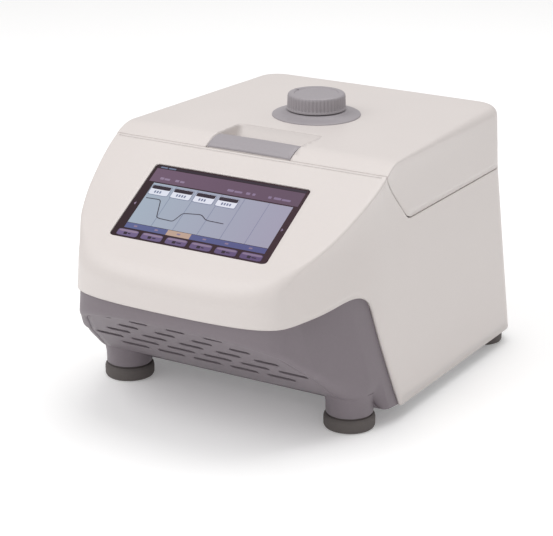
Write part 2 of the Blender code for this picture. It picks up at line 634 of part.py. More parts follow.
def make_electronics():
    """The vented power supply behind the belly and the driver board under the heatsink."""
    size, at = (0.150, 0.090, 0.038), (0, -0.050, 0.056)
    supply = box("power_supply", size, at, STEEL)
    boolean(supply, box("supply_hollow", [v - 0.0024 for v in size], at, DARK))
    for k in range(-4, 5):
        slot = box(f"supply_vent_{k}", (0.0040, 0.050, 0.008), (k * 0.012, at[1], at[2] + size[2] / 2), DARK)
        boolean(supply, slot)
    box("driver_board", (0.170, 0.115, 0.0016), (0, 0.066, 0.0620), BOARD)


# ---- hinges --------------------------------------------------------------------------------------------
def knuckles(leaf, tag, x, spans):
    """Join barrel pieces to a leaf and bore them for the pin."""
    for k, (middle, length) in enumerate(spans):
        at = Matrix.Translation((x + middle, HINGE_Y, HINGE_Z)) @ AXIS_TURN["X"]
        barrel = link(f"barrel_{tag}_{k}", cone_mesh(HINGE_R, HINGE_R, length, 14), STEEL, at)
        boolean(leaf, barrel, "UNION")
    at = Matrix.Translation((x, HINGE_Y, HINGE_Z)) @ AXIS_TURN["X"]
    bore = link(f"bore_{tag}", cone_mesh(PIN_R + 0.0002, PIN_R + 0.0002, LEAF_L + 0.01, 12), STEEL, at)
    return boolean(leaf, bore)


def make_hinge(side, x):
    """A butt hinge: fixed leaf with two end knuckles, lid leaf with the middle one, and a pin."""
    y = REAR_Y + 0.0003 + LEAF_T / 2
    ends = LEAF_L / 2 - KNUCKLE_L / 2
    middle = LEAF_L - 2 * KNUCKLE_L - 0.0008
    gap = HINGE_R + 0.0005
    fixed = box(f"hinge_leaf_fixed_{side}", (LEAF_L, LEAF_T, 0.0180), (x, y, HINGE_Z - gap - 0.0090), STEEL)
    for sign in (-1, 1):
        tab = box(f"tab_{side}_{sign}", (KNUCKLE_L, LEAF_T, gap + 0.001),
                  (x + sign * ends, y, HINGE_Z - (gap + 0.001) / 2), STEEL)
        boolean(fixed, tab, "UNION")
    knuckles(fixed, f"fixed_{side}", x, ((-ends, KNUCKLE_L), (ends, KNUCKLE_L)))
    moving = box(f"hinge_leaf_lid_{side}", (LEAF_L, LEAF_T, 0.0180), (x, y, HINGE_Z + gap + 0.0090), STEEL)
    tab = box(f"tab_{side}", (middle, LEAF_T, gap + 0.001), (x, y, HINGE_Z + (gap + 0.001) / 2), STEEL)
    boolean(moving, tab, "UNION")
    knuckles(moving, f"lid_{side}", x, ((0.0, middle),))
    cylinder(f"hinge_pin_{side}", PIN_R, LEAF_L + 0.0010, (x, HINGE_Y, HINGE_Z), STEEL, "X", 12)


# ---- lid -----------------------------------------------------------------------------------------------
def lid_ring(z, side_inset, rear_inset, front_y):
    """The lid's plan outline: straight front, straight sides, round rear corners."""
    half = half_width(min(z, EDGE_Z)) - side_inset
    rear = REAR_Y - rear_inset
    corner = max(REAR_CORNER - side_inset * 0.6, 0.008)
    right = [(0.0, front_y), (half - 0.004, front_y), (half, front_y + 0.004)]
    right += arc(half - corner, rear - corner, corner, 0, 90, 5)
    left = [(-x, y) for x, y in reversed(right[1:])]
    return [(x, y, z) for x, y in right + left]


def lid_rings(skin):
    """Rings up to the crowned top, drawn in by the skin thickness."""
    nose = -0.0700
    stations = ((0.150, 0.0, nose), (SEAM_Z, 0.0, nose), (0.2150, 0.0, nose), (0.2200, 0.0010, nose),
                (0.2235, 0.0036, nose), (0.2252, 0.0075, nose), (0.2262, 0.0130, nose),
                (0.2268, 0.0400, -0.0500), (CROWN_Z, 0.080, 0.0000))
    rings = []
    for z, inset, front in stations:
        drop = skin if z > SEAM_Z else 0.0
        rings.append(lid_ring(z - drop, inset + skin, inset * 0.9 + skin, front))
    return rings


def pocket_profile(skin):
    """Side view of the finger pocket, grown by a skin."""
    low = POCKET_FLOOR - skin
    barrel_low = LATCH_PIVOT[1] - 0.0030 - skin
    return [(-0.085, barrel_low), (-0.050, barrel_low), (-0.0440 + skin * 0.5, low),
            (POCKET_REAR_Y - 0.0120 + skin, low), (POCKET_REAR_Y + skin, 0.2250),
            (POCKET_REAR_Y + skin, 0.240), (-0.085, 0.240)]


def nose_line(y, drop=0.0):
    """Height of the lid's rolled front, which carries on from the sloped panel."""
    return LID_NOSE_Z + (y - PANEL_TOP_Y) * math.tan(PANEL_TILT) - drop / math.cos(PANEL_TILT)


def make_lid_shell():
    lid = loft("lid_shell", lid_rings(0.0), WHITE)
    seam = seam_line(GAP)
    front = PANEL_TOP_Y + 0.0008
    outer = seam[:-1] + [(front, seam[-1][1] - 0.003), (front, nose_line(front)), (0.0100, nose_line(0.0100)),
                         (0.22, nose_line(0.0100))]
    boolean(lid, side_prism("lid_profile", outer, 0.40, DARK), "INTERSECT")
    cavity = loft("lid_cavity", lid_rings(WALL), DARK)
    slope = seam_line(GAP + WALL)
    (foot_y, foot_z), (top_y, top_z) = slope[3], slope[-1]
    fall = (top_z - foot_z) / (top_y - foot_y)
    rise = math.tan(PANEL_TILT)
    meet = (nose_line(0.0, WALL) - foot_z + fall * foot_y) / (fall - rise)
    inner = [(0.22, 0.155), (foot_y + 0.004, 0.155), (foot_y, foot_z), (meet, nose_line(meet, WALL)),
             (0.0100, nose_line(0.0100, WALL)), (0.22, nose_line(0.0100, WALL))]
    boolean(cavity, side_prism("lid_cavity_profile", inner, 0.40, DARK), "INTERSECT")
    boolean(cavity, side_prism("pocket_tray", pocket_profile(0.0025), POCKET_W + 0.005, DARK))
    boolean(lid, cavity)
    boolean(lid, side_prism("pocket", pocket_profile(0.0), POCKET_W, DARK))
    boolean(lid, box("hook_slot", (0.0160, 0.0150, 0.030), (0, -0.0455, 0.2050), DARK))
    boolean(lid, cylinder("latch_pin_bore", 0.0014, POCKET_W + 0.009, (0, *LATCH_PIVOT), DARK, "X", 16))
    boolean(lid, cylinder("bush_hole", 0.0134, 0.03, (0, KNOB_Y, CROWN_Z), DARK, "Z", 32))
    return smooth(lid, 30)


def make_lid_liner():
    """The lid's inner cover: a plate with a collar round the hot plate's window."""
    front = SEAM_FOOT_Y + 0.0060
    half = half_width(SEAM_Z) - WALL - GAP
    rear = REAR_Y - WALL - GAP
    corner = REAR_CORNER
    right = [(half, front)] + arc(half - corner, rear - corner, corner, 0, 90, 5)
    outline = right + [(-x, y) for x, y in reversed(right)]
    window = rounded_rect(PLATE_W + 0.004, PLATE_D + 0.004, 0.003, 0, BLOCK_Y, 1)
    liner = plan_prism("lid_liner", outline, 0.0025, 0.17245, LIGHT_GREY, (window,))
    outside = rounded_rect(PLATE_W + 0.009, PLATE_D + 0.009, 0.005, 0, BLOCK_Y, 1)
    collar = plan_prism("liner_collar", outside, 0.0220, 0.1829, LIGHT_GREY, (window,))
    return boolean(liner, collar, "UNION")


def make_hot_plate():
    """The hot plate, its insulation and the carrier with its nut and guide bosses."""
    z = PLATE_LOW + PLATE_T / 2
    bevel(box("heater_plate", (PLATE_W, PLATE_D, PLATE_T), (0, BLOCK_Y, z), ALUMINIUM), 0.0012, 1)
    z += PLATE_T / 2 + 0.0003 + INSULATION_T / 2
    box("heater_insulation", (PLATE_W - 0.002, PLATE_D - 0.002, INSULATION_T), (0, BLOCK_Y, z), FOAM)
    z += INSULATION_T / 2 + 0.0003 + CARRIER_T / 2
    carrier = box("press_carrier", (PLATE_W - 0.002, PLATE_D - 0.002, CARRIER_T), (0, BLOCK_Y, z), STEEL)
    foot = z - CARRIER_T / 2
    for tag, x, radius, top in (("nut", 0.0, 0.0105, 0.2120), ("guide_l", -ROD_X, 0.0050, 0.2090),
                                ("guide_r", ROD_X, 0.0050, 0.2090)):
        boss = cylinder(f"boss_{tag}", radius, top - foot, (x, BLOCK_Y, (top + foot) / 2), STEEL, "Z", 16)
        boolean(carrier, boss, "UNION")
    for tag, x, radius in (("nut", 0.0, SCREW_R + 0.0003), ("guide_l", -ROD_X, ROD_R + 0.0003),
                           ("guide_r", ROD_X, ROD_R + 0.0003)):
        boolean(carrier, cylinder(f"bore_{tag}", radius, 0.04, (x, BLOCK_Y, 0.2050), STEEL, "Z", 16))
    mirrored_pair(make_guide_rod, "guide_rod", ROD_X)
    return smooth(carrier)


def make_guide_rod(name, x):
    return cylinder(name, ROD_R, 0.0270, (x, BLOCK_Y, 0.2102), STEEL, "Z", 20)


def make_knob():
    at = (0, KNOB_Y, 0)
    turned("knob", [(0.0, KNOB_TOP), (KNOB_R - 0.0014, KNOB_TOP), (KNOB_R, KNOB_TOP - 0.0014),
                    (KNOB_R + 0.0007, KNOB_FOOT), (0.0235, KNOB_FOOT), (0.0232, KNOB_TOP - 0.0030),
                    (0.0105, KNOB_TOP - 0.0030), (0.0100, KNOB_FOOT + 0.0010),
                    (SCREW_R + 0.0003, KNOB_FOOT + 0.0010), (SCREW_R + 0.0003, KNOB_TOP - 0.0050),
                    (0.0, KNOB_TOP - 0.0050)], at, LIGHT_GREY, 40)
    turned("knob_escutcheon", [(0.0225, 0.2322), (0.0285, 0.2322), (0.0300, 0.2308), (0.0345, 0.2293),
                               (SKIRT_R - 0.0008, 0.2286), (SKIRT_R, 0.2281), (SKIRT_R, SKIRT_FOOT),
                               (0.0345, SKIRT_FOOT), (0.0262, 0.2300), (0.0225, 0.2304),
                               (0.0225, 0.2322)], at, LIGHT_GREY, 40)
    cylinder("lead_screw", SCREW_R, 0.2420 - 0.1975, (0, KNOB_Y, (0.2420 + 0.1975) / 2), STEEL, "Z", 28)
    bore = SCREW_R + 0.0003
    turned("screw_bush", [(bore, 0.2300), (0.0125, 0.2300), (0.0130, 0.2295), (0.0130, 0.2238),
                          (0.0200, 0.2238), (0.0200, 0.2207), (0.0130, 0.2207), (0.0130, 0.2145),
                          (bore, 0.2145), (bore, 0.2300)], at, STEEL, 20)


# ---- latch ---------------------------------------------------------------------------------------------
def make_latch():
    """A pull-up latch plate with its barrel, and a hook that reaches down to the keeper."""
    top = [(-0.0610, 0.2194), (-0.0606, 0.2206), (-0.0570, 0.2232), (-0.0520, 0.2260), (-0.0475, 0.2280),
           (LATCH_REAR_Y - 0.0010, 0.2289), (LATCH_REAR_Y, 0.2284)]
    under = [(LATCH_REAR_Y, 0.2268), (-0.0475, 0.2256), (-0.0505, 0.2238), (-0.0525, 0.2190),
             (-0.0535, 0.2172), (-0.0560, 0.2170), (-0.0590, 0.2186)]
    plate = side_prism("latch_plate", top + under, LATCH_W, LIGHT_GREY)
    stem = box("hook_stem", (0.0120, 0.0030, 0.0310), (0, -0.0480, 0.2105), LIGHT_GREY)
    nose = side_prism("hook_nose", [(-0.0500, 0.1965), (-0.0480, 0.1950), (-0.0466, 0.1950), (-0.0466, 0.1990),
                                    (-0.0500, 0.1975)], 0.0120, LIGHT_GREY)
    boolean(plate, stem, "UNION")
    boolean(plate, nose, "UNION")
    boolean(plate, cylinder("latch_bore", 0.0014, LATCH_W + 0.02, (0, *LATCH_PIVOT), DARK, "X", 16))
    gap_at = (0, LATCH_PIVOT[0], LATCH_PIVOT[1] - 0.0009)
    boolean(plate, box("spring_gap", (0.0160, 0.0044, 0.0062), gap_at, DARK))
    cylinder("latch_pin", 0.0011, POCKET_W + 0.0080, (0, *LATCH_PIVOT), STEEL, "X", 16)
    box("latch_keeper", (0.0240, 0.0044, 0.0078), (0, -0.0529, 0.1978), STEEL)
    make_latch_spring()


def make_latch_spring():
    """A torsion spring wound round the latch pin."""
    turns, per_turn, radius, wire = 6, 9, 0.00165, 0.00028
    curve = bpy.data.curves.new("latch_spring", "CURVE")
    curve.dimensions = "3D"
    curve.bevel_depth = wire
    curve.bevel_resolution = 1
    curve.use_fill_caps = True
    spline = curve.splines.new("POLY")
    count = turns * per_turn
    spline.points.add(count)
    for k, slot in enumerate(spline.points):
        angle = 2 * math.pi * k / per_turn
        slot.co = (0.0130 * (k / count - 0.5), radius * math.cos(angle), radius * math.sin(angle), 1.0)
    curve.materials.append(material(STEEL))
    spring = bpy.data.objects.new("latch_spring", curve)
    spring.location = (0, *LATCH_PIVOT)
    PARTS.objects.link(spring)


def put_origins_on_axes():
    """Put each swinging piece's origin, or its parent empty, on its joint's axis."""
    hinge = (0, HINGE_Y, HINGE_Z)
    on_axis = {hinge: ("lid_shell", "lid_liner", "hinge_leaf_lid_left", "hinge_leaf_lid_right",
                       "guide_rod_left", "guide_rod_right", "latch_pin"),
               (0, *LATCH_PIVOT): ("latch_plate",),
               (ROCKER_X, ROCKER_Y, INLET_Z): ("power_rocker",)}
    bpy.context.view_layer.update()
    for axis_point, names in on_axis.items():
        for name in names:
            obj = bpy.data.objects[name]
            placed = Matrix.Translation(axis_point)
            obj.data.transform(placed.inverted() @ obj.matrix_world)
            obj.matrix_world = placed
    pivot = bpy.data.objects.new("lid_pivot", None)
    pivot.location = hinge
    PARTS.objects.link(pivot)
    bpy.context.view_layer.update()
    for name in ("knob_escutcheon", "screw_bush", "latch_spring"):
        obj = bpy.data.objects[name]
        obj.parent = pivot
        obj.matrix_parent_inverse = pivot.matrix_world.inverted()


def build():
    start_scene()
    make_housing()
    make_cowl()
    make_bottom_plate()
    mirrored_pair(make_foot_pad, "front_foot_pad", FRONT_FOOT[0])
    mirrored_pair(make_rear_foot, "rear_foot", REAR_FOOT[0])
    make_display()
    make_block()
    make_stack()
    make_fan("left", -FAN_X)
    make_fan("right", FAN_X)
    make_rear_panel()
    make_mains_inlet()
    make_fuse_drawer()
    make_rocker()
    make_usb_port()
    make_electronics()
    make_hinge("left", -HINGE_X)
    make_hinge("right", HINGE_X)
    make_lid_shell()
    make_lid_liner()
    make_hot_plate()
    make_knob()
    make_latch()
    put_origins_on_axes()


build()
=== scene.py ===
"""Look of the bench-top thermal cycler: fine shells, materials, lit display, floor, light and camera."""

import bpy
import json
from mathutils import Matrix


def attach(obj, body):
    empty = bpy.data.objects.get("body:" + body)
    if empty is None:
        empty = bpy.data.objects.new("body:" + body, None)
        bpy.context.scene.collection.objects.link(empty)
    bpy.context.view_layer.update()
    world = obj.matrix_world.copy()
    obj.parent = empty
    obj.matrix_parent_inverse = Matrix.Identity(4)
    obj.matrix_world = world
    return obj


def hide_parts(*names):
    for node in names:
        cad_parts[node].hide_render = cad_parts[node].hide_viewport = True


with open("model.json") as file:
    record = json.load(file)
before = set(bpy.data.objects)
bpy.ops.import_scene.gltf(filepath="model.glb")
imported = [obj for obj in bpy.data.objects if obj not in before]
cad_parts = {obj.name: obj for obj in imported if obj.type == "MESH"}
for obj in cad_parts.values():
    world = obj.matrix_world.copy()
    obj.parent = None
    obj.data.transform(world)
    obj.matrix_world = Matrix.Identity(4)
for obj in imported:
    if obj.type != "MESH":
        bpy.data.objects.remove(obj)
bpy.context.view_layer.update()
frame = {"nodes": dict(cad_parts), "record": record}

import json
from math import atan2, cos, dist, exp, pi, radians, sin, tan

import bmesh
import bpy
from mathutils import Matrix, Vector

# ---- dimensions shared with the solids (metres) ----
FRONT_Y, REAR_Y = -0.1927, 0.1867
HALF_BASE, HALF_SEAM, HALF_TOP = 0.148, 0.131, 0.1285
BASE_Z, LIP_Z, SEAM_Z, EDGE_Z = 0.014, 0.114, 0.169, 0.217
CORNER, TAPER, GAP, SKIN = 0.025, 0.133, 0.0004, 0.0026
TILT = radians(30.7)
PANEL_Y, PANEL_Z, APEX_Y, SEAM_FOOT_Y = -0.1228, 0.1831, -0.0623, -0.0133
SCREEN_W, SCREEN_H, SCREEN_R = 0.155, 0.086, 0.0035
ARCH_TIP_Y = -0.0518
BELLY_FRONT, BELLY_REAR = (-0.1900, 0.1050), (-0.1040, 0.0300)
BLOCK_Y, BLOCK_W, BLOCK_D, BLOCK_TOP = 0.057, 0.118, 0.082, 0.1725
FOOT, REAR_FOOT, STEM_R = (0.114, -0.082), (0.123, 0.162), 0.0205
POCKET_W, POCKET_REAR_Y, POCKET_FLOOR, POCKET_R = 0.0850, -0.0050, 0.2125, 0.0042
LATCH_W = 0.0832
NOSE_Z, TOP_Z = 0.2190, 0.2272
KNOB_TOP, KNOB_FOOT = 0.2475, 0.2330
HINGE_X, HINGE_Y, HINGE_Z = 0.070, 0.1886, 0.1697

# ---- fineness and small roundings of the visible shells ----
DECK_R, CREASE_R = 0.0006, 0.0007
WALL_ROWS, BACK_STEPS, LID_FRONT_STEPS = 20, 64, 48
GLASS_DEPTH, LAYER = -0.0008, 0.00006


# ---- materials ----
def node(tree, kind, **values):
    made = tree.nodes.new(kind)
    for key, value in values.items():
        if hasattr(made, key):
            setattr(made, key, value)
        else:
            made.inputs[key].default_value = value
    return made


def base_material(name, rough, metallic=0.0, **sockets):
    mat = bpy.data.materials.new(name)
    mat.use_nodes = True
    tree = mat.node_tree
    shader = tree.nodes["Principled BSDF"]
    shader.inputs["Roughness"].default_value = rough
    shader.inputs["Metallic"].default_value = metallic
    for key, value in sockets.items():
        shader.inputs[key.replace("_", " ")].default_value = value
    where = node(tree, "ShaderNodeTexCoord")
    return mat, tree, shader, where.outputs["Object"]


def noise(tree, where, scale, detail=3.0, rough=0.5):
    made = node(tree, "ShaderNodeTexNoise", Scale=scale, Detail=detail, Roughness=rough)
    tree.links.new(where, made.inputs["Vector"])
    return made.outputs["Fac"]


def remap(tree, value, to_low, to_high, low=0.3, high=0.7):
    made = node(tree, "ShaderNodeMapRange")
    for key, number in (("From Min", low), ("From Max", high), ("To Min", to_low), ("To Max", to_high)):
        made.inputs[key].default_value = number
    tree.links.new(value, made.inputs["Value"])
    return made.outputs["Result"]


def blend_colours(tree, factor, first, second):
    made = node(tree, "ShaderNodeMix", data_type="RGBA")
    made.inputs["A"].default_value = (*first, 1)
    made.inputs["B"].default_value = (*second, 1)
    tree.links.new(factor, made.inputs["Factor"])
    return made.outputs["Result"]


def bump(tree, shader, height, strength, distance):
    made = node(tree, "ShaderNodeBump", Strength=strength, Distance=distance)
    tree.links.new(height, made.inputs["Height"])
    tree.links.new(made.outputs["Normal"], shader.inputs["Normal"])
    return made


def scaled(colour, by):
    return tuple(c * by for c in colour)


def plastic(name, colour, rough, grain=1400.0, depth=0.00004, strength=0.35, drift=0.03, **sockets):
    """Moulded plastic: spark-eroded grain, faint flow mottling, and gloss that drifts a little."""
    mat, tree, shader, where = base_material(name, rough, **sockets)
    cloud = noise(tree, where, 9.0, 4.0)
    speck = noise(tree, where, 420.0, 2.0)
    mix = node(tree, "ShaderNodeMath", operation="ADD")
    tree.links.new(remap(tree, cloud, 0.0, 0.7), mix.inputs[0])
    tree.links.new(remap(tree, speck, 0.0, 0.3), mix.inputs[1])
    colour_out = blend_colours(tree, mix.outputs[0], scaled(colour, 1 - drift), scaled(colour, 1 + drift))
    tree.links.new(colour_out, shader.inputs["Base Color"])
    tree.links.new(remap(tree, cloud, rough - 0.04, rough + 0.05), shader.inputs["Roughness"])
    bump(tree, shader, noise(tree, where, grain, 3.0, 0.6), strength, depth)
    return mat


def brushed(name, colour, rough):
    """Metal with drawn lines along x."""
    mat, tree, shader, where = base_material(name, rough, 1.0)
    mapping = node(tree, "ShaderNodeMapping", Scale=(40.0, 1200.0, 1200.0))
    tree.links.new(where, mapping.inputs["Vector"])
    lines = noise(tree, mapping.outputs["Vector"], 1.0, 3.0)
    colour_out = blend_colours(tree, lines, scaled(colour, 0.82), scaled(colour, 1.08))
    tree.links.new(colour_out, shader.inputs["Base Color"])
    tree.links.new(remap(tree, lines, rough - 0.08, rough + 0.12), shader.inputs["Roughness"])
    bump(tree, shader, lines, 0.25, 0.00002)
    return mat


def lit(name, left, right, glow):
    """A lit patch of the display under glass, shading from its left colour to its right one."""
    mat, tree, shader, where = base_material(name, 0.16, Specular_IOR_Level=0.5)
    split = node(tree, "ShaderNodeSeparateXYZ")
    tree.links.new(where, split.inputs["Vector"])
    across = remap(tree, split.outputs["X"], 0.0, 1.0, -SCREEN_W / 2, SCREEN_W / 2)
    cells = noise(tree, where, 900.0, 1.0)
    share = node(tree, "ShaderNodeMath", operation="MULTIPLY_ADD")
    share.inputs[1].default_value = 0.12
    tree.links.new(cells, share.inputs[0])
    tree.links.new(across, share.inputs[2])
    colour = blend_colours(tree, share.outputs[0], left, right)
    tree.links.new(colour, shader.inputs["Emission Color"])
    shader.inputs["Emission Strength"].default_value = glow
    dim = blend_colours(tree, share.outputs[0], scaled(left, 0.25), scaled(right, 0.25))
    tree.links.new(dim, shader.inputs["Base Color"])
    return mat


WHITE = plastic("white_abs", (0.660, 0.612, 0.592), 0.40, grain=1700, strength=0.22, drift=0.018,
                Coat_Weight=0.08, Coat_Roughness=0.35)
GREY = plastic("grey_abs", (0.190, 0.162, 0.180), 0.48, grain=1100, strength=0.5, drift=0.05)
LIGHT = plastic("light_grey_abs", (0.330, 0.305, 0.325), 0.42, grain=1300, strength=0.4, drift=0.04)
RUBBER = plastic("foot_rubber_look", (0.105, 0.092, 0.088), 0.78, grain=900, depth=0.00008, strength=0.6,
                 drift=0.09)
BLACK = plastic("black_abs", (0.020, 0.020, 0.022), 0.45, grain=1200, strength=0.5, drift=0.12)
SEAL = plastic("silicone_look", (0.52, 0.51, 0.48), 0.70, grain=500, strength=0.4, drift=0.06)
CERAMIC = plastic("ceramic_look", (0.78, 0.76, 0.70), 0.55, grain=800, strength=0.3, drift=0.05)
BOARD = plastic("solder_mask", (0.02, 0.13, 0.06), 0.35, grain=300, strength=0.5, drift=0.2, Coat_Weight=0.4)
ALUMINIUM = brushed("milled_aluminium", (0.74, 0.75, 0.76), 0.32)
STEEL = brushed("drawn_steel", (0.56, 0.56, 0.57), 0.30)


# ---- mesh helpers ----
def piece(name, verts, faces, mat, body, replaces=(), angle=None):
    """A new mesh object riding on a body, with normals facing out."""
    mesh = bpy.data.meshes.new(name)
    mesh.from_pydata(verts, [], faces)
    bm = bmesh.new()
    bm.from_mesh(mesh)
    bmesh.ops.remove_doubles(bm, verts=bm.verts, dist=1e-6)
    bmesh.ops.recalc_face_normals(bm, faces=bm.faces)
    bm.to_mesh(mesh)
    bm.free()
    return place(name, mesh, mat, body, replaces, angle)


def place(name, mesh, mat, body, replaces=(), angle=None):
    obj = add_object(name, mesh)
    dress(mesh, mat, angle)
    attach(obj, body)
    if replaces:
        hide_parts(*replaces)
    return obj


def add_object(name, data):
    obj = bpy.data.objects.new(name, data)
    bpy.context.scene.collection.objects.link(obj)
    return obj


def bmesh_object(name, bm):
    """A new object from a bmesh, which is used up."""
    mesh = bpy.data.meshes.new(name)
    bm.to_mesh(mesh)
    bm.free()
    return add_object(name, mesh)


def dress(mesh, mat, angle=None):
    """Give a mesh its one material and, at an angle, smooth shading with sharp edges above it."""
    mesh.materials.clear()
    mesh.materials.append(mat)
    if angle is not None:
        mesh.shade_smooth()
        mesh.set_sharp_from_angle(angle=radians(angle))


def flip_if(obj, test):
    """Turn the faces over if the face picked by a key points the wrong way."""
    face = max(obj.data.polygons, key=lambda f: test(f.center))
    ways = (Vector((0.001, 0, 0)), Vector((0, 0.001, 0)), Vector((0, 0, 0.001)))
    outward = Vector([test(face.center + way) - test(face.center) for way in ways])
    if face.normal.dot(outward) < 0:
        obj.data.flip_normals()


def strip(loops, closed=True, offset=0):
    """Faces between successive loops of equal length."""
    count = len(loops[0])
    starts = [offset + k * count for k in range(len(loops) - 1)]
    turns = [(i, (i + 1) % count) for i in range(count if closed else count - 1)]
    return [(a + i, a + j, a + count + j, a + count + i) for a in starts for i, j in turns]


def flat(loops):
    return [p for loop in loops for p in loop]


def grid_piece(name, loops, mat, body, replaces=(), closed=True, caps=False, angle=None, skip=None):
    """A piece spanned between loops; skip(corner, opposite corner) leaves faces out."""
    verts = flat(loops)
    faces = strip(loops, closed)
    if skip:
        faces = [f for f in faces if not skip(verts[f[0]], verts[f[2]])]
    if caps:
        count = len(loops[0])
        faces.append(tuple(range(count)))
        faces.append(tuple(len(verts) - count + i for i in range(count)))
    return piece(name, verts, faces, mat, body, replaces, angle)


def stack_rings(bm, rings):
    """Faces between successive rings of points, with both ends closed."""
    rows = [[bm.verts.new(p) for p in ring] for ring in rings]
    for a, b in zip(rows, rows[1:]):
        for k in range(len(a)):
            j = (k + 1) % len(a)
            bm.faces.new((a[k], a[j], b[j], b[k]))
    bm.faces.new(rows[-1])
    bm.faces.new(rows[0][::-1])


def circle(radius, steps, at=(0.0, 0.0), phase=0.0):
    turns = [2 * pi * (k + phase) / steps for k in range(steps)]
    return [(at[0] + radius * cos(a), at[1] + radius * sin(a)) for a in turns]


def bezier(p0, p1, p2, p3, t):
    s = 1.0 - t
    w = (s ** 3, 3 * s * s * t, 3 * s * t * t, t ** 3)
    return tuple(w[0] * a + w[1] * b + w[2] * c + w[3] * d for a, b, c, d in zip(p0, p1, p2, p3))


def clamp(x):
    return min(max(x, 0.0), 1.0)


def smoothstep(x, low, high):
    t = clamp((x - low) / (high - low))
    return t * t * (3 - 2 * t)


def smooth_max(a, b, k):
    """The larger of two values, blended over a span k where they cross."""
    h = clamp(0.5 + 0.5 * (a - b) / k)
    return lerp(b, a, h) + k * h * (1 - h)


def lerp(a, b, t):
    return a + (b - a) * t


def between(a, b, t):
    """Plan point at a share t of the way from a to b."""
    return lerp(a[0], b[0], t), lerp(a[1], b[1], t)


def half_width(z):
    if z < SEAM_Z:
        return lerp(HALF_BASE, HALF_SEAM, (z - BASE_Z) / (SEAM_Z - BASE_Z))
    return lerp(HALF_SEAM, HALF_TOP, (z - SEAM_Z) / (EDGE_Z - SEAM_Z))


def panel_z(y, offset=0.0):
    return PANEL_Z + (y - PANEL_Y) * tan(TILT) + offset / cos(TILT)


def seam_z(y):
    """Height of the lid seam: level at the rear, rising to the panel at the front."""
    rise = panel_z(APEX_Y) - SEAM_Z
    run = SEAM_FOOT_Y - APEX_Y
    slope = rise / run
    soft = 0.0055
    d = SEAM_FOOT_Y - y
    if d < -soft:
        return SEAM_Z
    if d < soft:
        return SEAM_Z + slope * (d + soft) ** 2 / (4 * soft)
    return SEAM_Z + slope * d


KNEE = (0.75, 0.16)
FRONT_CURVE = [bezier((0, 0), (0.45, 0.0), (0.68, 0.03), KNEE, k / 24) for k in range(24)]
SIDE_CURVE = [bezier(KNEE, (0.83, 0.33), (0.995, 0.55), (1, 1), k / 400) for k in range(401)]


def side_share(y):
    """Share of the half width reached at a y, along the drawn-in side."""
    v = (y - FRONT_Y) / TAPER
    if v >= 1:
        return 1.0
    for (u0, v0), (u1, v1) in zip(SIDE_CURVE, SIDE_CURVE[1:]):
        if v0 <= v <= v1:
            return lerp(u0, u1, (v - v0) / (v1 - v0))
    return KNEE[0]


def bulge(y, z):
    """How far the side stands out at a height, just under the edge of the panel or of the lid's top."""
    if y < APEX_Y:
        size = 0.0058 * smoothstep(y, -0.178, -0.140) + 0.0017 * smoothstep(y, -0.110, -0.066)
        top = panel_z(y) - edge_radius(y)
    else:
        size = 0.0075 * clamp((0.160 - y) / 0.222)
        top = crown(HALF_TOP, y) - lid_radius(y)
    return size * exp(-max(top - z, 0.0) / 0.017)


def wall_point(station, z, side):
    """Point of the outer wall; a station is a share of the half width, a cut off it, and a y."""
    share, cut, y = station
    return (side * (share * (half_width(z) + bulge(y, z)) - cut), y, z)


def spaced(low, high, count):
    return [lerp(low, high, k / count) for k in range(count)]


def along(*stretches, share=lambda y: 1.0):
    """Stations over stretches (from y, to y, count)."""
    return [(share(y), 0.0, y) for stretch in stretches for y in spaced(*stretch)]


def rear_corner(count):
    """Stations round the rear corner, in steps of a twelfth of its quarter turn."""
    turns = [radians(90 * k / 12) for k in range(count)]
    return [(1.0, CORNER * (1 - cos(a)), REAR_Y - CORNER * (1 - sin(a))) for a in turns]


def chaikin(points, rounds=3):
    """Cut the corners of an open line so that it runs smoothly."""
    for _ in range(rounds):
        cut = [points[0]]
        for a, b in zip(points, points[1:]):
            cut += [between(a, b, 0.25), between(a, b, 0.75)]
        points = cut + [points[-1]]
    return points


ARCH_LINE = chaikin([
    (-0.1900, LIP_Z), (-0.1760, LIP_Z), (-0.1660, 0.1143), (-0.1560, 0.1160), (-0.1430, 0.1185),
    (-0.1320, 0.1209), (-0.1190, 0.1240), (-0.1087, 0.1252), (-0.1000, 0.1240), (-0.0915, 0.1205),
    (-0.0860, 0.1145), (-0.0828, 0.1040), (-0.0795, 0.0920), (-0.0755, 0.0775), (-0.0683, 0.0565),
    (-0.0612, 0.0365), (ARCH_TIP_Y, BASE_Z)])


def arch_z(y):
    """Lower edge of the white moulding: lip, rise to the arch, then down the skirt's front edge."""
    if y >= ARCH_TIP_Y:
        return BASE_Z
    for (y0, z0), (y1, z1) in zip(ARCH_LINE, ARCH_LINE[1:]):
        if y0 <= y <= y1:
            return lerp(z0, z1, (y - y0) / (y1 - y0))
    return LIP_Z


# ---- main housing ----
KNEE_Y = FRONT_Y + KNEE[1] * TAPER
SKIRT_Y = ARCH_TIP_Y - 0.0002
SEAM_BEND = (SEAM_FOOT_Y - 0.006, SEAM_FOOT_Y + 0.006)
NOSE = [(u, 0.0, FRONT_Y + v * TAPER) for u, v in FRONT_CURVE]
PANEL_FRONT = NOSE + along((KNEE_Y, -0.125, 24), (-0.125, -0.100, 16), (-0.100, -0.078, 34),
                           (-0.078, APEX_Y, 10), share=side_share)
DECK_COLUMNS = [1 - 0.4962 * k / 8 for k in range(8)] + [0.5038 * (1 - k / 8) for k in range(9)]
SIDE_REAR = along((APEX_Y, SKIRT_Y, 6), (SKIRT_Y, SEAM_BEND[0], 18), (*SEAM_BEND, 12),
                  (SEAM_BEND[1], 0.009, 3), (0.009, 0.105, 10), (0.105, REAR_Y - CORNER, 6))
SIDE_REAR += rear_corner(12) + [(s, s * CORNER, REAR_Y) for s in DECK_COLUMNS]


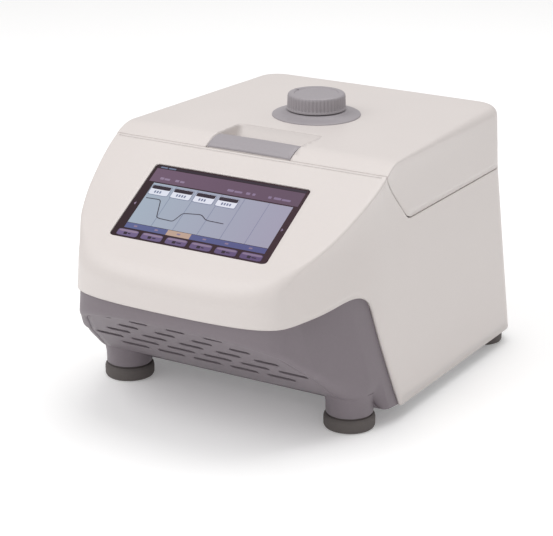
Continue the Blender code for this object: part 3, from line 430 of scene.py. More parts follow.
def edge_radius(y):
    """Rounding of the panel's outer edge: broad over the front lip, crisp up the sides."""
    return lerp(0.0135, 0.0020, smoothstep(y, -0.187, -0.150))


def housing_walls():
    """Rows of the wall right round, from the panel's or the seam's edge down to the lower edge."""
    right = [(s, panel_z(s[2]) - edge_radius(s[2])) for s in PANEL_FRONT]
    right += [(s, seam_z(s[2]) - GAP - DECK_R) for s in SIDE_REAR]
    columns = []
    for side, stations in ((1, right), (-1, right[-2:0:-1])):
        for station, top in stations:
            fall = top - arch_z(station[2])
            heights = [top - fall * (k / WALL_ROWS) ** 1.7 for k in range(WALL_ROWS + 1)]
            columns.append([wall_point(station, z, side) for z in heights])
    return list(zip(*columns))


def rounded_rect_path(width, height, radius, counts):
    """Points round a rounded rectangle from the upper left corner's middle: down, along, up and back.

    counts gives the points on the left, lower, right and upper sides.
    """
    hx, hy, quarter = width / 2 - radius, height / 2 - radius, radius * pi / 4
    corners = ((-hx, hy), (-hx, -hy), (hx, -hy), (hx, hy))
    points = []
    for number, count in enumerate(counts):
        start, end = corners[number], corners[(number + 1) % 4]
        length = dist(start, end)
        for k in range(count):
            d = (length + 2 * quarter) * k / count - quarter
            turn = min(d, 0.0) + max(d - length, 0.0)
            a = radians(180 + 90 * number + 45 * turn / quarter)
            x, y = between(start, end, clamp(d / length))
            points.append((x + radius * cos(a), y + radius * sin(a)))
    return points


def on_panel(u, v, height=0.0):
    """A point of the sloped panel: u across, v up the slope, height off its surface."""
    return (u, PANEL_Y + v * cos(TILT) - height * sin(TILT),
            PANEL_Z + v * sin(TILT) + height * cos(TILT))


def plan_normals(loop):
    """Inward unit normals of a closed plan loop that runs anticlockwise."""
    normals = []
    count = len(loop)
    for i in range(count):
        ax, ay = loop[i - 1][:2]
        bx, by = loop[(i + 1) % count][:2]
        d = Vector((bx - ax, by - ay))
        d = d.normalized() if d.length > 1e-9 else Vector((1, 0))
        normals.append(Vector((-d.y, d.x)))
    return normals


def rolled_edge(edge, radii, normals, height, angles):
    """Loops that round an edge over into the surface height(x, y)."""
    loops = []
    for a in map(radians, angles):
        loop = []
        for (x, y, _), radius, normal in zip(edge, radii, normals):
            d = radius * (1 - cos(a))
            px, py = x + normal.x * d, y + normal.y * d
            loop.append((px, py, height(px, py) - radius * (1 - sin(a))))
        loops.append(loop)
    return loops


def filled(last, ring, height, steps):
    """Loops from a loop in to a ring, lying on the surface height(x, y)."""
    loops = []
    for k in range(1, steps + 1):
        spots = [between(a, b, k / steps) for a, b in zip(last, ring)]
        loops.append([(x, y, height(x, y)) for x, y in spots])
    return loops


def panel_loops():
    """Loops from the panel's outer edge in to the display's window."""
    right = PANEL_FRONT + [(1.0, 0.0, APEX_Y)]
    edge, radii = [], []
    for side, stations in ((-1, right[::-1]), (1, right[1:])):
        for station in stations:
            radii.append(edge_radius(station[2]))
            edge.append(wall_point(station, panel_z(station[2]) - radii[-1], side))
    corner = len(edge) - 1
    left_x, right_x = edge[0][0], edge[-1][0]
    back_z = panel_z(APEX_Y) - DECK_R
    edge += [(lerp(right_x, left_x, k / BACK_STEPS), APEX_Y, back_z) for k in range(1, BACK_STEPS)]
    radii += [DECK_R] * (BACK_STEPS - 1)
    normals = plan_normals(edge)
    normals[0], normals[corner] = Vector((1, 0)), Vector((-1, 0))
    loops = rolled_edge(edge, radii, normals, lambda x, y: panel_z(y), (0, 18, 36, 54, 72, 90))
    front = len(FRONT_CURVE)
    counts = (len(right) - 1 - front, 2 * front, len(right) - 1 - front, BACK_STEPS)

    def window(grow, depth=0.0):
        path = rounded_rect_path(SCREEN_W + 2 * grow, SCREEN_H + 2 * grow, SCREEN_R + grow, counts)
        return [on_panel(u, v, depth) for u, v in path]

    loops += filled(loops[-1], window(0.0005), lambda x, y: panel_z(y), 12)
    return loops + [window(0.00015, -0.00016), window(0.0, -0.0005), window(0.0, -0.0026)]


def deck_rows():
    """Rows over the sloped catch wall and the deck, with the edges rounded."""
    ring = [(DECK_R * (1 - cos(radians(a))), DECK_R * (1 - sin(radians(a)))) for a in (0, 30, 60)]
    rows = []
    for station in SIDE_REAR:
        if station[0] < 1.0:
            break
        top = seam_z(station[2]) - GAP
        x, y, _ = wall_point(station, top - DECK_R, 1)
        row = [(-x + d, y, top - drop) for d, drop in ring]
        row += [(-(x - DECK_R) * s, y, top) for s in DECK_COLUMNS[:-1]]
        row += [((x - DECK_R) * s, y, top) for s in reversed(DECK_COLUMNS)]
        rows.append(row + [(x - d, y, top - drop) for d, drop in reversed(ring)])
    return rows


def build_housing():
    """The white moulding: walls, sloped panel and deck, open over the block, the rear panel and the catch."""
    walls, panel, deck = housing_walls(), panel_loops(), deck_rows()
    verts = flat(walls) + flat(panel) + flat(deck)
    panel_at = len(walls) * len(walls[0])
    deck_at = panel_at + len(panel) * len(panel[0])

    def over_block(face):
        a, b = verts[face[0]], verts[face[2]]
        return abs((a[0] + b[0]) / 2) < 0.0662 and 0.0088 < (a[1] + b[1]) / 2 < 0.1052

    faces = strip(walls) + strip(panel, True, panel_at)
    faces += [f for f in strip(deck, False, deck_at) if not over_block(f)]
    obj = piece("housing_shell", verts, faces, WHITE, "base", ("main_housing",), 32)
    flip_if(obj, lambda c: c.x)
    thicken(obj, SKIN)
    carve(obj, box_tool("rear_window_tool", (0.208, 0.02, 0.124), (0, REAR_Y, 0.092)))
    carve(obj, box_tool("catch_tool", (0.0150, 0.014, 0.040), (0, -0.0440, 0.1965)))


def apply_modifiers(obj):
    depsgraph = bpy.context.evaluated_depsgraph_get()
    mesh = bpy.data.meshes.new_from_object(obj.evaluated_get(depsgraph))
    old = obj.data
    obj.modifiers.clear()
    obj.data = mesh
    bpy.data.meshes.remove(old)


def thicken(obj, depth, share=None):
    """Give a skin its thickness inward; share(point) scales it from place to place."""
    step = obj.modifiers.new("skin", "SOLIDIFY")
    step.thickness = depth
    step.offset = -1.0
    step.use_even_offset = False
    if share:
        group = obj.vertex_groups.new(name="depth")
        for vertex in obj.data.vertices:
            group.add([vertex.index], share(vertex.co), "REPLACE")
        step.vertex_group = "depth"
    apply_modifiers(obj)


def box_tool(name, size, at):
    bm = bmesh.new()
    bmesh.ops.create_cube(bm, size=1.0, matrix=Matrix.Diagonal((*size, 1.0)))
    obj = bmesh_object(name, bm)
    obj.matrix_world = Matrix.Translation(at)
    return obj


def carve(obj, *tools):
    """Cut the tools' shapes out of an object and use the tools up."""
    for tool in tools:
        step = obj.modifiers.new("cut", "BOOLEAN")
        step.operation = "DIFFERENCE"
        step.solver = "EXACT"
        step.object = tool
    bpy.context.view_layer.update()
    apply_modifiers(obj)
    for tool in tools:
        mesh = tool.data
        bpy.data.objects.remove(tool, do_unlink=True)
        bpy.data.meshes.remove(mesh)


# ---- grey cowl ----
def belly_z(y):
    """Underside of the cowl: a slope down from the lip to the feet, softened at both ends."""
    (y0, z0), (y1, z1) = BELLY_FRONT, BELLY_REAR
    slope = z0 + (y - y0) * (z1 - z0) / (y1 - y0)
    return smooth_max(slope, z1 - (y - y1) * 0.10, 0.010) - 0.0122 * smoothstep(y, -0.080, -0.068)


def cowl_inset(y, z):
    """How far the wall stands in from the housing's outer face; hollowed in front of the leg's fold."""
    t = clamp((-0.0800 - 0.25 * z - y) / 0.050)
    return 0.0027 + 0.0185 * t * (1 - t)


def cowl_top(y):
    return min(max(arch_z(y), arch_z(y - 0.016)) + 0.010, LIP_Z + 0.020)


def cowl_drop(y):
    """Height of the rounded lower edge: a shoulder beside the leg, crisp behind it."""
    behind = smoothstep(y, -0.078, -0.066)
    return 0.0075 + 0.0125 * smoothstep(y, -0.132, -0.104) * (1 - behind) - 0.0045 * behind


def cowl_point(side, station, z):
    """Point of the cowl's wall at a station and a height."""
    share, _, y = station
    inset = cowl_inset(y, z)
    return Vector((side * share * (half_width(z) - inset), y + inset * (1 - share ** 2), z))


def build_cowl():
    """The grey moulding under the lip: upright wall, rounded edge, sloped belly with slots."""
    right = NOSE[::2] + along((KNEE_Y, -0.062, 56), share=side_share)
    right += [(1.0, 0.0, y) for y in (-0.062, -0.058, -0.054, -0.050, -0.046, -0.040)]
    outline = [(-1, s) for s in reversed(right)] + [(1, s) for s in right[1:]]
    plan = [cowl_point(side, s, 0.06) for side, s in outline]
    inner = []
    for i, point in enumerate(plan):
        a, b = plan[max(i - 1, 0)], plan[min(i + 1, len(plan) - 1)]
        d = Vector((b.x - a.x, b.y - a.y)).normalized()
        reach = 0.0090 - 0.0060 * smoothstep(point.y, -0.080, -0.068)
        inner.append(Vector((point.x - d.y * reach, point.y + d.x * reach)))
    feet = [belly_z(p.y) + cowl_drop(p.y) for p in inner]
    loops = []
    for k in range(WALL_ROWS + 1):
        loops.append([tuple(cowl_point(side, s, lerp(max(cowl_top(s[2]), foot), foot, k / WALL_ROWS)))
                      for (side, s), foot in zip(outline, feet)])
    edge = loops[-1]
    for angle in (12, 24, 36, 48, 60, 75, 90):
        c, v = 1 - cos(radians(angle)), sin(radians(angle))
        loops.append([(*between(e, p, c), foot - cowl_drop(p.y) * v)
                      for e, p, foot in zip(edge, inner, feet)])
    wall = grid_piece("cowl_shell", loops, GREY, "base", ("front_base_cowl",), False, angle=50)
    flip_if(wall, lambda c: c.x if abs(c.z - 0.08) < 0.03 else -1)
    thicken(wall, SKIN)
    rows = [[(p.x * (k / 20 - 1), p.y, belly_z(p.y)) for k in range(41)]
            for p in inner[len(right) - 1:] if p.x > 0.0005]
    belly = grid_piece("cowl_belly", rows, GREY, "base", (), False, angle=30)
    flip_if(belly, lambda c: -c.z)
    thicken(belly, SKIN)
    carve(belly, slot_tools())
    for side in (-1, 1):
        build_stem(side)


def slot_tools():
    """One mesh holding every air slot, as rounded bars square to the belly."""
    bm = bmesh.new()
    (y0, z0), (y1, z1) = BELLY_FRONT, BELLY_REAR
    tilt = Matrix.Rotation(-atan2(z0 - z1, y1 - y0), 4, "X")
    pitch = 0.0370
    rows = ((-0.1768, 0.018, 0.0042, 0.080), (-0.1650, 0.020, 0.0054, 0.090), (-0.1530, 0.024, 0.0058, 0.090),
            (-0.1405, 0.028, 0.0058, 0.094), (-0.1280, 0.028, 0.0058, 0.080))
    for number, (y, length, width, reach) in enumerate(rows):
        for k in range(-3, 4):
            x = k * pitch + 0.5 * pitch * (number % 2)
            if abs(x) <= reach:
                matrix = Matrix.Translation((x, y, belly_z(y))) @ tilt
                stack_rings(bm, [[matrix @ Vector((*p, z)) for p in bar_points(length, width)]
                                 for z in (-0.006, 0.006)])
    bmesh.ops.recalc_face_normals(bm, faces=bm.faces)
    return bmesh_object("slot_tools", bm)


def bar_points(length, width):
    """Outline of a bar with round ends."""
    r = width / 2
    h = length / 2 - r
    return [(way * h + r * cos(radians(a)), r * sin(radians(a)))
            for way, first in ((1, -90), (-1, 90)) for a in range(first, first + 181, 30)]


def build_stem(side):
    """A front leg: a round stem that flares up into the belly, less so on its outer side."""
    profile = ((0.0140, 0.0133), (0.0199, 0.0133), (STEM_R, 0.0139), (0.0207, 0.0230), (0.0217, 0.0290),
               (0.0237, 0.0345), (0.0270, 0.0400), (0.0300, 0.0450), (0.0322, 0.0500))
    loops = []
    for r, z in profile:
        limit = STEM_R - 0.0004 - 0.6 * max(r - STEM_R - 0.0030, 0.0) if z > 0.038 else r
        loops.append([(side * (FOOT[0] + min(x, limit)), FOOT[1] + y, z) for x, y in circle(r, 64)])
    grid_piece(f"stem_{'right' if side > 0 else 'left'}_skin", loops, GREY, "base", angle=40)


def turned(name, profile, at, mat, body, replaces=(), steps=96, angle=32.0):
    """A body of revolution; the profile runs from axis to axis or closes on itself."""
    loops = [[(x, y, z) for x, y in circle(r, steps, at)] for r, z in profile]
    return grid_piece(name, loops, mat, body, replaces, angle=angle)


def build_feet():
    front = ((0.0, 0.0008), (0.0120, 0.0008), (0.0122, 0.0), (0.0200, 0.0), (0.0214, 0.0006),
             (0.0222, 0.0022), (0.0223, 0.0085), (0.0219, 0.0105), (0.0206, 0.0119), (0.0192, 0.0122),
             (0.0190, 0.0128), (0.0, 0.0128))
    rear = ((0.0, 0.0008), (0.0090, 0.0008), (0.0092, 0.0), (0.0172, 0.0), (0.0186, 0.0007),
            (0.0192, 0.0022), (0.0192, 0.0110), (0.0186, 0.0128), (0.0160, 0.0138), (0.0150, 0.0142),
            (0.0150, 0.0172), (0.0, 0.0172))
    for side, tag in ((-1, "left"), (1, "right")):
        turned(f"foot_pad_{tag}", front, (side * FOOT[0], FOOT[1]), RUBBER, "base",
               (f"front_foot_pad_{tag}",))
        turned(f"rear_pad_{tag}", rear, (side * REAR_FOOT[0], REAR_FOOT[1]), RUBBER, "base",
               (f"rear_foot_{tag}",))


# ---- lid ----
LID_SIDE = along((APEX_Y + CREASE_R, -0.016, 34), (-0.016, -0.008, 8), (-0.008, REAR_Y - CORNER, 22))
LID_SIDE += rear_corner(13) + [(1 - k / 13, CORNER * (1 - k / 13), REAR_Y) for k in range(1, 14)]


def crown(x, y):
    """Height of the lid's top: a rolled front carrying on from the panel, then nearly flat."""
    top = TOP_Z - 0.0003 * (x / 0.131) ** 2 - 0.0006 * smoothstep(y, 0.10, 0.19)
    nose = NOSE_Z + (y - APEX_Y) * tan(TILT)
    return -smooth_max(-nose, -top, 0.0060)


def lid_radius(y):
    """Rounding of the lid's top edge, tight at the front where it meets the panel."""
    return CREASE_R + 0.0083 * clamp((y + 0.062) / 0.200)


def build_lid():
    """The lid's skin, from its lower edge over the rounded top edge and in to the knob's opening."""
    base = []
    for side, stations in ((1, LID_SIDE), (-1, LID_SIDE[-2::-1])):
        for station in stations:
            roof = crown(HALF_TOP, station[2])
            low = min(seam_z(station[2]) + GAP + 0.0004, roof - 0.0014)
            radius = min(lid_radius(station[2]), 0.86 * (roof - low))
            base.append((side, station, low, max(roof - radius, low), radius))
    loops = []
    for k in range(9):
        loop = [wall_point(station, lerp(low, top, k / 8), side) for side, station, low, top, _ in base]
        shares = [k / LID_FRONT_STEPS for k in range(1, LID_FRONT_STEPS)]
        loops.append(loop + [(*between(loop[-1], loop[0], t), loop[0][2]) for t in shares])
    outer = loops[-1]
    normals = plan_normals(outer)
    normals[0], normals[len(base) - 1] = Vector((-1, 0)), Vector((1, 0))
    radii = [row[4] for row in base] + [CREASE_R] * (LID_FRONT_STEPS - 1)
    loops += rolled_edge(outer, radii, normals, crown, (15, 30, 45, 60, 75, 90))
    ring = []
    for x, y, _ in loops[-1]:
        d = Vector((x, y - BLOCK_Y)).normalized() * 0.0215
        ring.append((d.x, BLOCK_Y + d.y))
    loops += filled(loops[-1], ring, crown, 24)
    obj = grid_piece("lid_skin", loops, WHITE, "lid", ("lid_shell",), angle=30)
    flip_if(obj, lambda c: c.z)
    cut_pocket(obj)
    thicken(obj, SKIN, lambda c: min(max((c.y - APEX_Y) / 0.0045, 0.16), 1.0))
    build_pocket()
    build_lid_front()


def cut_pocket(obj):
    """Open the finger pocket through the lid's top and front, with rounded rear corners."""
    half, rear, r = POCKET_W / 2, POCKET_REAR_Y, POCKET_R
    planes = [((half, 0, 0), (1, 0, 0)), ((-half, 0, 0), (-1, 0, 0)), ((0, rear, 0), (0, 1, 0))]
    for side in (-1, 1):
        for angle in (18, 36, 54, 72):
            a = radians(angle)
            n = (side * cos(a), sin(a), 0)
            planes.append(((side * (half - r) + r * n[0], rear - r + r * n[1], 0), n))
    bm = bmesh.new()
    bm.from_mesh(obj.data)
    for spot, normal in planes:
        parts = bm.verts[:] + bm.edges[:] + bm.faces[:]
        bmesh.ops.bisect_plane(bm, geom=parts, plane_co=spot, plane_no=normal)

    def inside(c):
        return c.z > 0.2172 and all((c - Vector(spot)).dot(Vector(normal)) < 0 for spot, normal in planes)

    gone = [f for f in bm.faces if inside(f.calc_center_median())]
    bmesh.ops.delete(bm, geom=gone, context="FACES")
    bm.to_mesh(obj.data)
    bm.free()


def pocket_floor(y):
    """Floor of the finger pocket, kept above the lid's slanted front wall."""
    return max(POCKET_FLOOR, seam_z(y) + 0.0030)


def build_pocket():
    """The finger pocket's tray: a rim, a sloped rear wall and a floor that runs under the latch."""
    front = APEX_Y + 0.0032
    r = POCKET_R
    levels = ((0.0, 0.0, 0.0), (0.0003, 0.0006, 0.0010), (0.0006, 0.0016, 0.0028), (0.0010, 0.0045, 0.0062),
              (0.0014, 0.0085, 0.0100), (0.0018, 0.0125, 0.0150))
    loops = []
    for side_in, rear_in, drop in levels:
        width, rear = POCKET_W / 2 - side_in, POCKET_REAR_Y - rear_in
        points = [(width, lerp(front, rear - r, k / 6)) for k in range(7)]
        points += [(width - r + r * cos(radians(a)), rear - r + r * sin(radians(a)))
                   for a in (22.5, 45, 67.5, 90)]
        points += [((width - r) * k / 4, rear) for k in (3, 2, 1)]
        points += [(0.0, rear)] + [(-x, y) for x, y in reversed(points)]
        roofs = [crown(x, y) - 0.0003 for x, y in points]
        loops.append([(x, y, min(roof, max(roof - drop, pocket_floor(y))))
                      for (x, y), roof in zip(points, roofs)])
    last = [(x * 0.6, lerp(front, y, 0.5)) for x, y, _ in loops[-1]]
    loops.append([(x, y, pocket_floor(y)) for x, y in last])
    obj = grid_piece("finger_pocket_tray", loops, WHITE, "lid", (), False, angle=40)
    flip_if(obj, lambda c: c.z if abs(c.x) < 0.02 and c.y < -0.03 else -1)
    thicken(obj, 0.0010)


def build_lid_front():
    """The lid's slanted front wall that faces the housing's catch wall, open for the catch."""
    loops = []
    for k in range(13):
        y = lerp(APEX_Y + 0.0016, SEAM_FOOT_Y + 0.004, k / 12)
        z = seam_z(y) + GAP + 0.0006
        half = half_width(z) + bulge(y, z) - 0.0008
        loops.append([(lerp(-half, half, i / 40), y, z) for i in range(41)])
    obj = grid_piece("lid_front_wall", loops, WHITE, "lid", (), False, angle=30,
                     skip=lambda a, b: abs(a[0] + 0.0032) < 0.0090 and -0.0540 < a[1] < -0.0380)
    flip_if(obj, lambda c: -c.z)
    thicken(obj, 0.0018)


LATCH_LINE = ((-0.0606, 0.2197), (-0.0605, 0.2206), (-0.0600, 0.2215), (-0.0585, 0.2227), (-0.0560, 0.2242),
              (-0.0530, 0.2256), (-0.0500, 0.2266), (-0.0470, 0.2272), (-0.0445, 0.2273), (-0.0420, 0.2270),
              (-0.0395, 0.2264), (-0.0376, 0.2257), (-0.0372, 0.2251))


def build_latch():
    """The pull plate: a curved plate lying over the lid's rolled front, with its hook."""
    count = 41
    top = []
    for y, height in LATCH_LINE:
        loop = []
        for k in range(count):
            s = 2 * k / (count - 1) - 1
            side = max(abs(s) - 0.965, 0.0) / 0.035
            loop.append((LATCH_W / 2 * s, y, height - 0.0005 * s * s - 0.0010 * side ** 2))
        top.append(loop)
    under = [[(x, y + 0.0006, z - lerp(0.0004, 0.0018, min((y + 0.0612) / 0.006, 1.0))) for x, y, z in loop]
             for loop in top]
    rows, under_at = len(top), len(top) * count
    faces = strip(top, False) + [tuple(under_at + i for i in reversed(f)) for f in strip(top, False)]
    border = list(range(count)) + [k * count + count - 1 for k in range(1, rows)]
    border += [(rows - 1) * count + i for i in range(count - 2, -1, -1)]
    border += [k * count for k in range(rows - 2, 0, -1)]
    for a, b in zip(border, border[1:] + border[:1]):
        faces.append((a, b, under_at + b, under_at + a))
    piece("latch_cover", flat(top + under), faces, LIGHT, "latch", ("latch_plate",), 50)
    hook = [(-0.0495, 0.2256), (-0.0495, 0.1988), (-0.0500, 0.1975), (-0.0500, 0.1965), (-0.0480, 0.1950),
            (-0.0466, 0.1950), (-0.0465, 0.2256)]
    loops = [[(x, y, z) for y, z in hook] for x in (-0.0060, 0.0060)]
    grid_piece("latch_hook", loops, LIGHT, "latch", caps=True)


# ---- knob ----
def build_knob():
    """The ribbed knob with a recessed cap and a pointer notch, over its conical skirt."""
    at = (0.0, BLOCK_Y)
    head = ((0.0, 0.0008), (0.0120, 0.0008), (0.0196, 0.0008), (0.0200, 0.0004), (0.0204, 0.0), (0.0236, 0.0),
            (0.0250, 0.0004), (0.0259, 0.0014), (0.0262, 0.0030), (0.0263, 0.0070), (0.0264, 0.0105),
            (0.0264, 0.0122), (0.0268, 0.0128))
    foot = ((0.0269, 0.0004), (0.0264, 0.0), (0.0235, 0.0), (0.0230, 0.0020), (0.0, 0.0020))
    profile = [(r, KNOB_TOP - drop) for r, drop in head] + [(r, KNOB_FOOT + rise) for r, rise in foot]
    ribbed = {7: 0.35, 8: 1.0, 9: 1.0, 10: 1.0, 11: 0.8}
    wave = (0.6, 1.0, 0.6, 0.0, 0.0, 0.0)
    loops = []
    for row, (r, z) in enumerate(profile):
        depth = 0.0007 * ribbed.get(row, 0.0)
        reaches = [r - depth * wave[k % 6] for k in range(288)]
        loops.append([(at[0] + reach * c, at[1] + reach * v, z)
                      for reach, (c, v) in zip(reaches, circle(1.0, 288))])
    knob = grid_piece("knob_skin", loops, LIGHT, "knob", ("knob",), angle=40)
    notch = box_tool("notch_tool", (0.0070, 0.0016, 0.0060), (0, 0, 0))
    notch.matrix_world = (Matrix.Translation((*at, KNOB_TOP)) @ Matrix.Rotation(radians(176), 4, "Z")
                          @ Matrix.Translation((0.0228, 0, 0)))
    carve(knob, notch)
    skirt = ((0.0225, 0.2322), (0.0282, 0.2322), (0.0289, 0.2319), (0.0295, 0.2311), (0.0306, 0.2303),
             (0.0325, 0.2295), (0.0350, 0.2289), (0.0375, 0.2286), (0.0392, 0.2284), (0.0400, 0.2280),
             (0.0402, 0.2274), (0.0400, 0.2268), (0.0345, 0.2268), (0.0262, 0.2300), (0.0225, 0.2302),
             (0.0225, 0.2322))
    turned("skirt_skin", skirt, at, LIGHT, "lid", ("knob_escutcheon",), 128)


# ---- display ----
SHADES = {"frame": ((42, 20, 28), (54, 30, 40), 0.75), "header": ((104, 82, 102), (92, 72, 90), 0.8),
          "chart": ((154, 168, 182), (152, 148, 168), 0.8), "strip": ((88, 96, 138), (80, 80, 126), 0.8),
          "cell": ((176, 150, 134), (180, 154, 140), 0.8), "button": ((106, 92, 128), (88, 70, 106), 0.85),
          "dark": ((44, 32, 44), (52, 40, 54), 0.7), "line": ((104, 116, 140), (112, 112, 142), 0.8),
          "white": ((206, 210, 222), (212, 212, 224), 0.85), "mark": ((140, 122, 146), (126, 108, 136), 0.8)}


def linear(colour):
    return tuple((c / 255) ** 2.2 for c in colour)


def screen_spot(u, v):
    """Place on the panel of a display point: u across and v down, both from 0 to 1."""
    return (u - 0.5) * SCREEN_W, (0.5 - v) * SCREEN_H


def screen_patches(name, patches, layer, mat, radius=0.0):
    """Flat patches (u0, v0, u1, v1) on a layer of the display."""
    verts, faces = [], []
    for u0, v0, u1, v1 in patches:
        (x0, y1), (x1, y0) = screen_spot(u0, v0), screen_spot(u1, v1)
        r = min(radius, (x1 - x0) / 2.01, (y1 - y0) / 2.01)
        path = [(x1, y1), (x0, y1), (x0, y0), (x1, y0)]
        if r > 0:
            path = rounded_rect_path(x1 - x0, y1 - y0, r, (8, 8, 8, 8))
            path = [(px + (x0 + x1) / 2, py + (y0 + y1) / 2) for px, py in path]
        start = len(verts)
        verts += [on_panel(px, py, GLASS_DEPTH + LAYER * layer) for px, py in path]
        faces.append(tuple(range(start, start + len(path))))
    flat_piece(name, verts, faces, mat)


def flat_piece(name, verts, faces, mat):
    mesh = bpy.data.meshes.new(name)
    mesh.from_pydata(verts, [], faces)
    for face in mesh.polygons:
        if face.normal.z < 0:
            face.flip()
    place(name, mesh, mat, "base")


def screen_stroke(name, points, width, layer, mat):
    """A line drawn on the display through (u, v) points."""
    spots = [Vector(screen_spot(u, v)) for u, v in points]
    verts = []
    for i, spot in enumerate(spots):
        a, b = spots[max(i - 1, 0)], spots[min(i + 1, len(spots) - 1)]
        d = (b - a).normalized()
        n = Vector((-d.y, d.x)) * width / 2
        verts += [on_panel(*side, GLASS_DEPTH + LAYER * layer) for side in (spot + n, spot - n)]
    flat_piece(name, verts, [(k, k + 1, k + 3, k + 2) for k in range(0, 2 * len(spots) - 2, 2)], mat)


def rounded_path(points, radius=0.018, steps=5):
    """Points of a polyline with its corners rounded."""
    made = [points[0]]
    for a, b, c in zip(points, points[1:], points[2:]):
        va, vc = Vector(a) - Vector(b), Vector(c) - Vector(b)
        ra, rc = min(radius, va.length / 2.1), min(radius * 1.6, vc.length / 2.1)
        start, end = Vector(b) + va.normalized() * ra, Vector(b) + vc.normalized() * rc
        for k in range(steps + 1):
            t = k / steps
            q = start * (1 - t) ** 2 + Vector(b) * 2 * t * (1 - t) + end * t * t
            made.append((q.x, q.y))
    return made + [points[-1]]


def build_display():
    """The lit touch screen: dark frame, header, step chart, status strip and a row of buttons."""
    looks = {key: lit(f"screen_{key}", linear(left), linear(right), glow)
             for key, (left, right, glow) in SHADES.items()}
    path = rounded_rect_path(SCREEN_W - 0.0005, SCREEN_H - 0.0005, SCREEN_R, (10, 10, 10, 10))
    low = [on_panel(x, y, -0.0028) for x, y in path]
    high = [on_panel(x, y, -0.0010) for x, y in path]
    rim = [on_panel(x * 0.9975, y * 0.9955, GLASS_DEPTH) for x, y in path]
    grid_piece("display_face", [low, high, rim], looks["frame"], "base", ("display_glass",), True, True, 30)
    columns, tags = (0.215, 0.355, 0.510, 0.655, 0.810), (0.129, 0.2735, 0.420, 0.566)
    ticks = (0.115, 0.250, 0.395, 0.560, 0.700, 0.850)
    steps = ((0.075, 0.460), (0.170, 0.455), (0.215, 0.687), (0.323, 0.696), (0.352, 0.572), (0.466, 0.547),
             (0.509, 0.605), (0.623, 0.609))
    digits = []
    for number, u in enumerate(tags):
        lefts = [u - 0.030 + 0.017 * k for k in range(3 + number % 2)]
        digits += [(left, 0.348, left + 0.010, 0.380) for left in lefts]
    buttons = [(0.0385 + 0.1575 * k, 0.893, 0.1705 + 0.1575 * k, 0.975) for k in range(6)]
    edges = [(a - 0.003, b - 0.005, c + 0.003, d + 0.005) for a, b, c, d in buttons]
    sheen = [(a + 0.006, b + 0.006, c - 0.006, b + 0.030) for a, b, c, _ in buttons]
    icons = []
    for number, (a, b, c, d) in enumerate(buttons):
        middle = (a + c) / 2 - 0.012
        icons.append((middle - 0.011, b + 0.034, middle + 0.011, d - 0.016))
        icons.append((middle + 0.016, b + 0.044, middle + 0.034 + 0.006 * (number % 3), d - 0.026))
    words = ((0.080, 0.105, 0.165), (0.110, 0.145, 0.170), (0.180, 0.205, 0.165), (0.212, 0.240, 0.170),
             (0.520, 0.560, 0.165), (0.566, 0.615, 0.170), (0.640, 0.665, 0.165), (0.680, 0.698, 0.165),
             (0.780, 0.800, 0.165), (0.815, 0.860, 0.165), (0.866, 0.920, 0.170))

    def draw(*rows):
        for name, patches, layer, look, radius in rows:
            screen_patches(f"display_{name}", patches, layer, looks[look], radius)

    draw(("header", [(0.022, 0.055, 0.978, 0.235)], 1, "header", 0.0),
         ("title_bar", [(0.022, 0.022, 0.978, 0.050)], 1, "dark", 0.0),
         ("chart", [(0.060, 0.250, 0.955, 0.800)], 1, "chart", 0.0),
         ("chart_shade", [(0.060, 0.250, 0.215, 0.455)], 2, "chart", 0.0),
         ("chart_lines", [(u - 0.0012, 0.250, u + 0.0012, 0.800) for u in columns], 3, "line", 0.0),
         ("tag_edges", [(u - 0.065, 0.272, u + 0.065, 0.408) for u in tags], 4, "line", 0.0012),
         ("tag_backs", [(u - 0.062, 0.278, u + 0.062, 0.402) for u in tags], 5, "white", 0.0010),
         ("tag_heads", [(u - 0.060, 0.281, u + 0.060, 0.328) for u in tags], 6, "dark", 0.0008),
         ("tag_marks", digits, 6, "line", 0.0003))
    screen_stroke("display_profile_line", rounded_path(steps), 0.00075, 7, looks["dark"])
    draw(("strip", [(0.060, 0.805, 0.955, 0.872)], 1, "strip", 0.0),
         ("strip_cell", [(0.330, 0.805, 0.480, 0.872)], 2, "cell", 0.0),
         ("strip_marks", [(u, 0.828, u + 0.022, 0.848) for u in ticks], 3, "mark", 0.0004),
         ("button_edges", edges, 1, "dark", 0.0020),
         ("buttons", buttons, 2, "button", 0.0018),
         ("button_sheen", sheen, 3, "mark", 0.0008),
         ("button_icons", icons, 4, "dark", 0.0005),
         ("header_marks", [(a, top, b, 0.195) for a, b, top in words], 2, "mark", 0.0004),
         ("title_marks", [(0.040, 0.027, 0.085, 0.045), (0.092, 0.027, 0.140, 0.045)], 2, "line", 0.0003))
    corners = [screen_spot(u + way * du, 0.55 + dv) for u, way in ((0.028, -1), (0.972, 1))
               for du, dv in ((0.006, 0.0), (-0.006, -0.022), (-0.006, 0.022))]
    corners = [on_panel(*corner, -0.00070) for corner in corners]
    flat_piece("display_side_arrows", corners, [(0, 1, 2), (3, 4, 5)], looks["mark"])


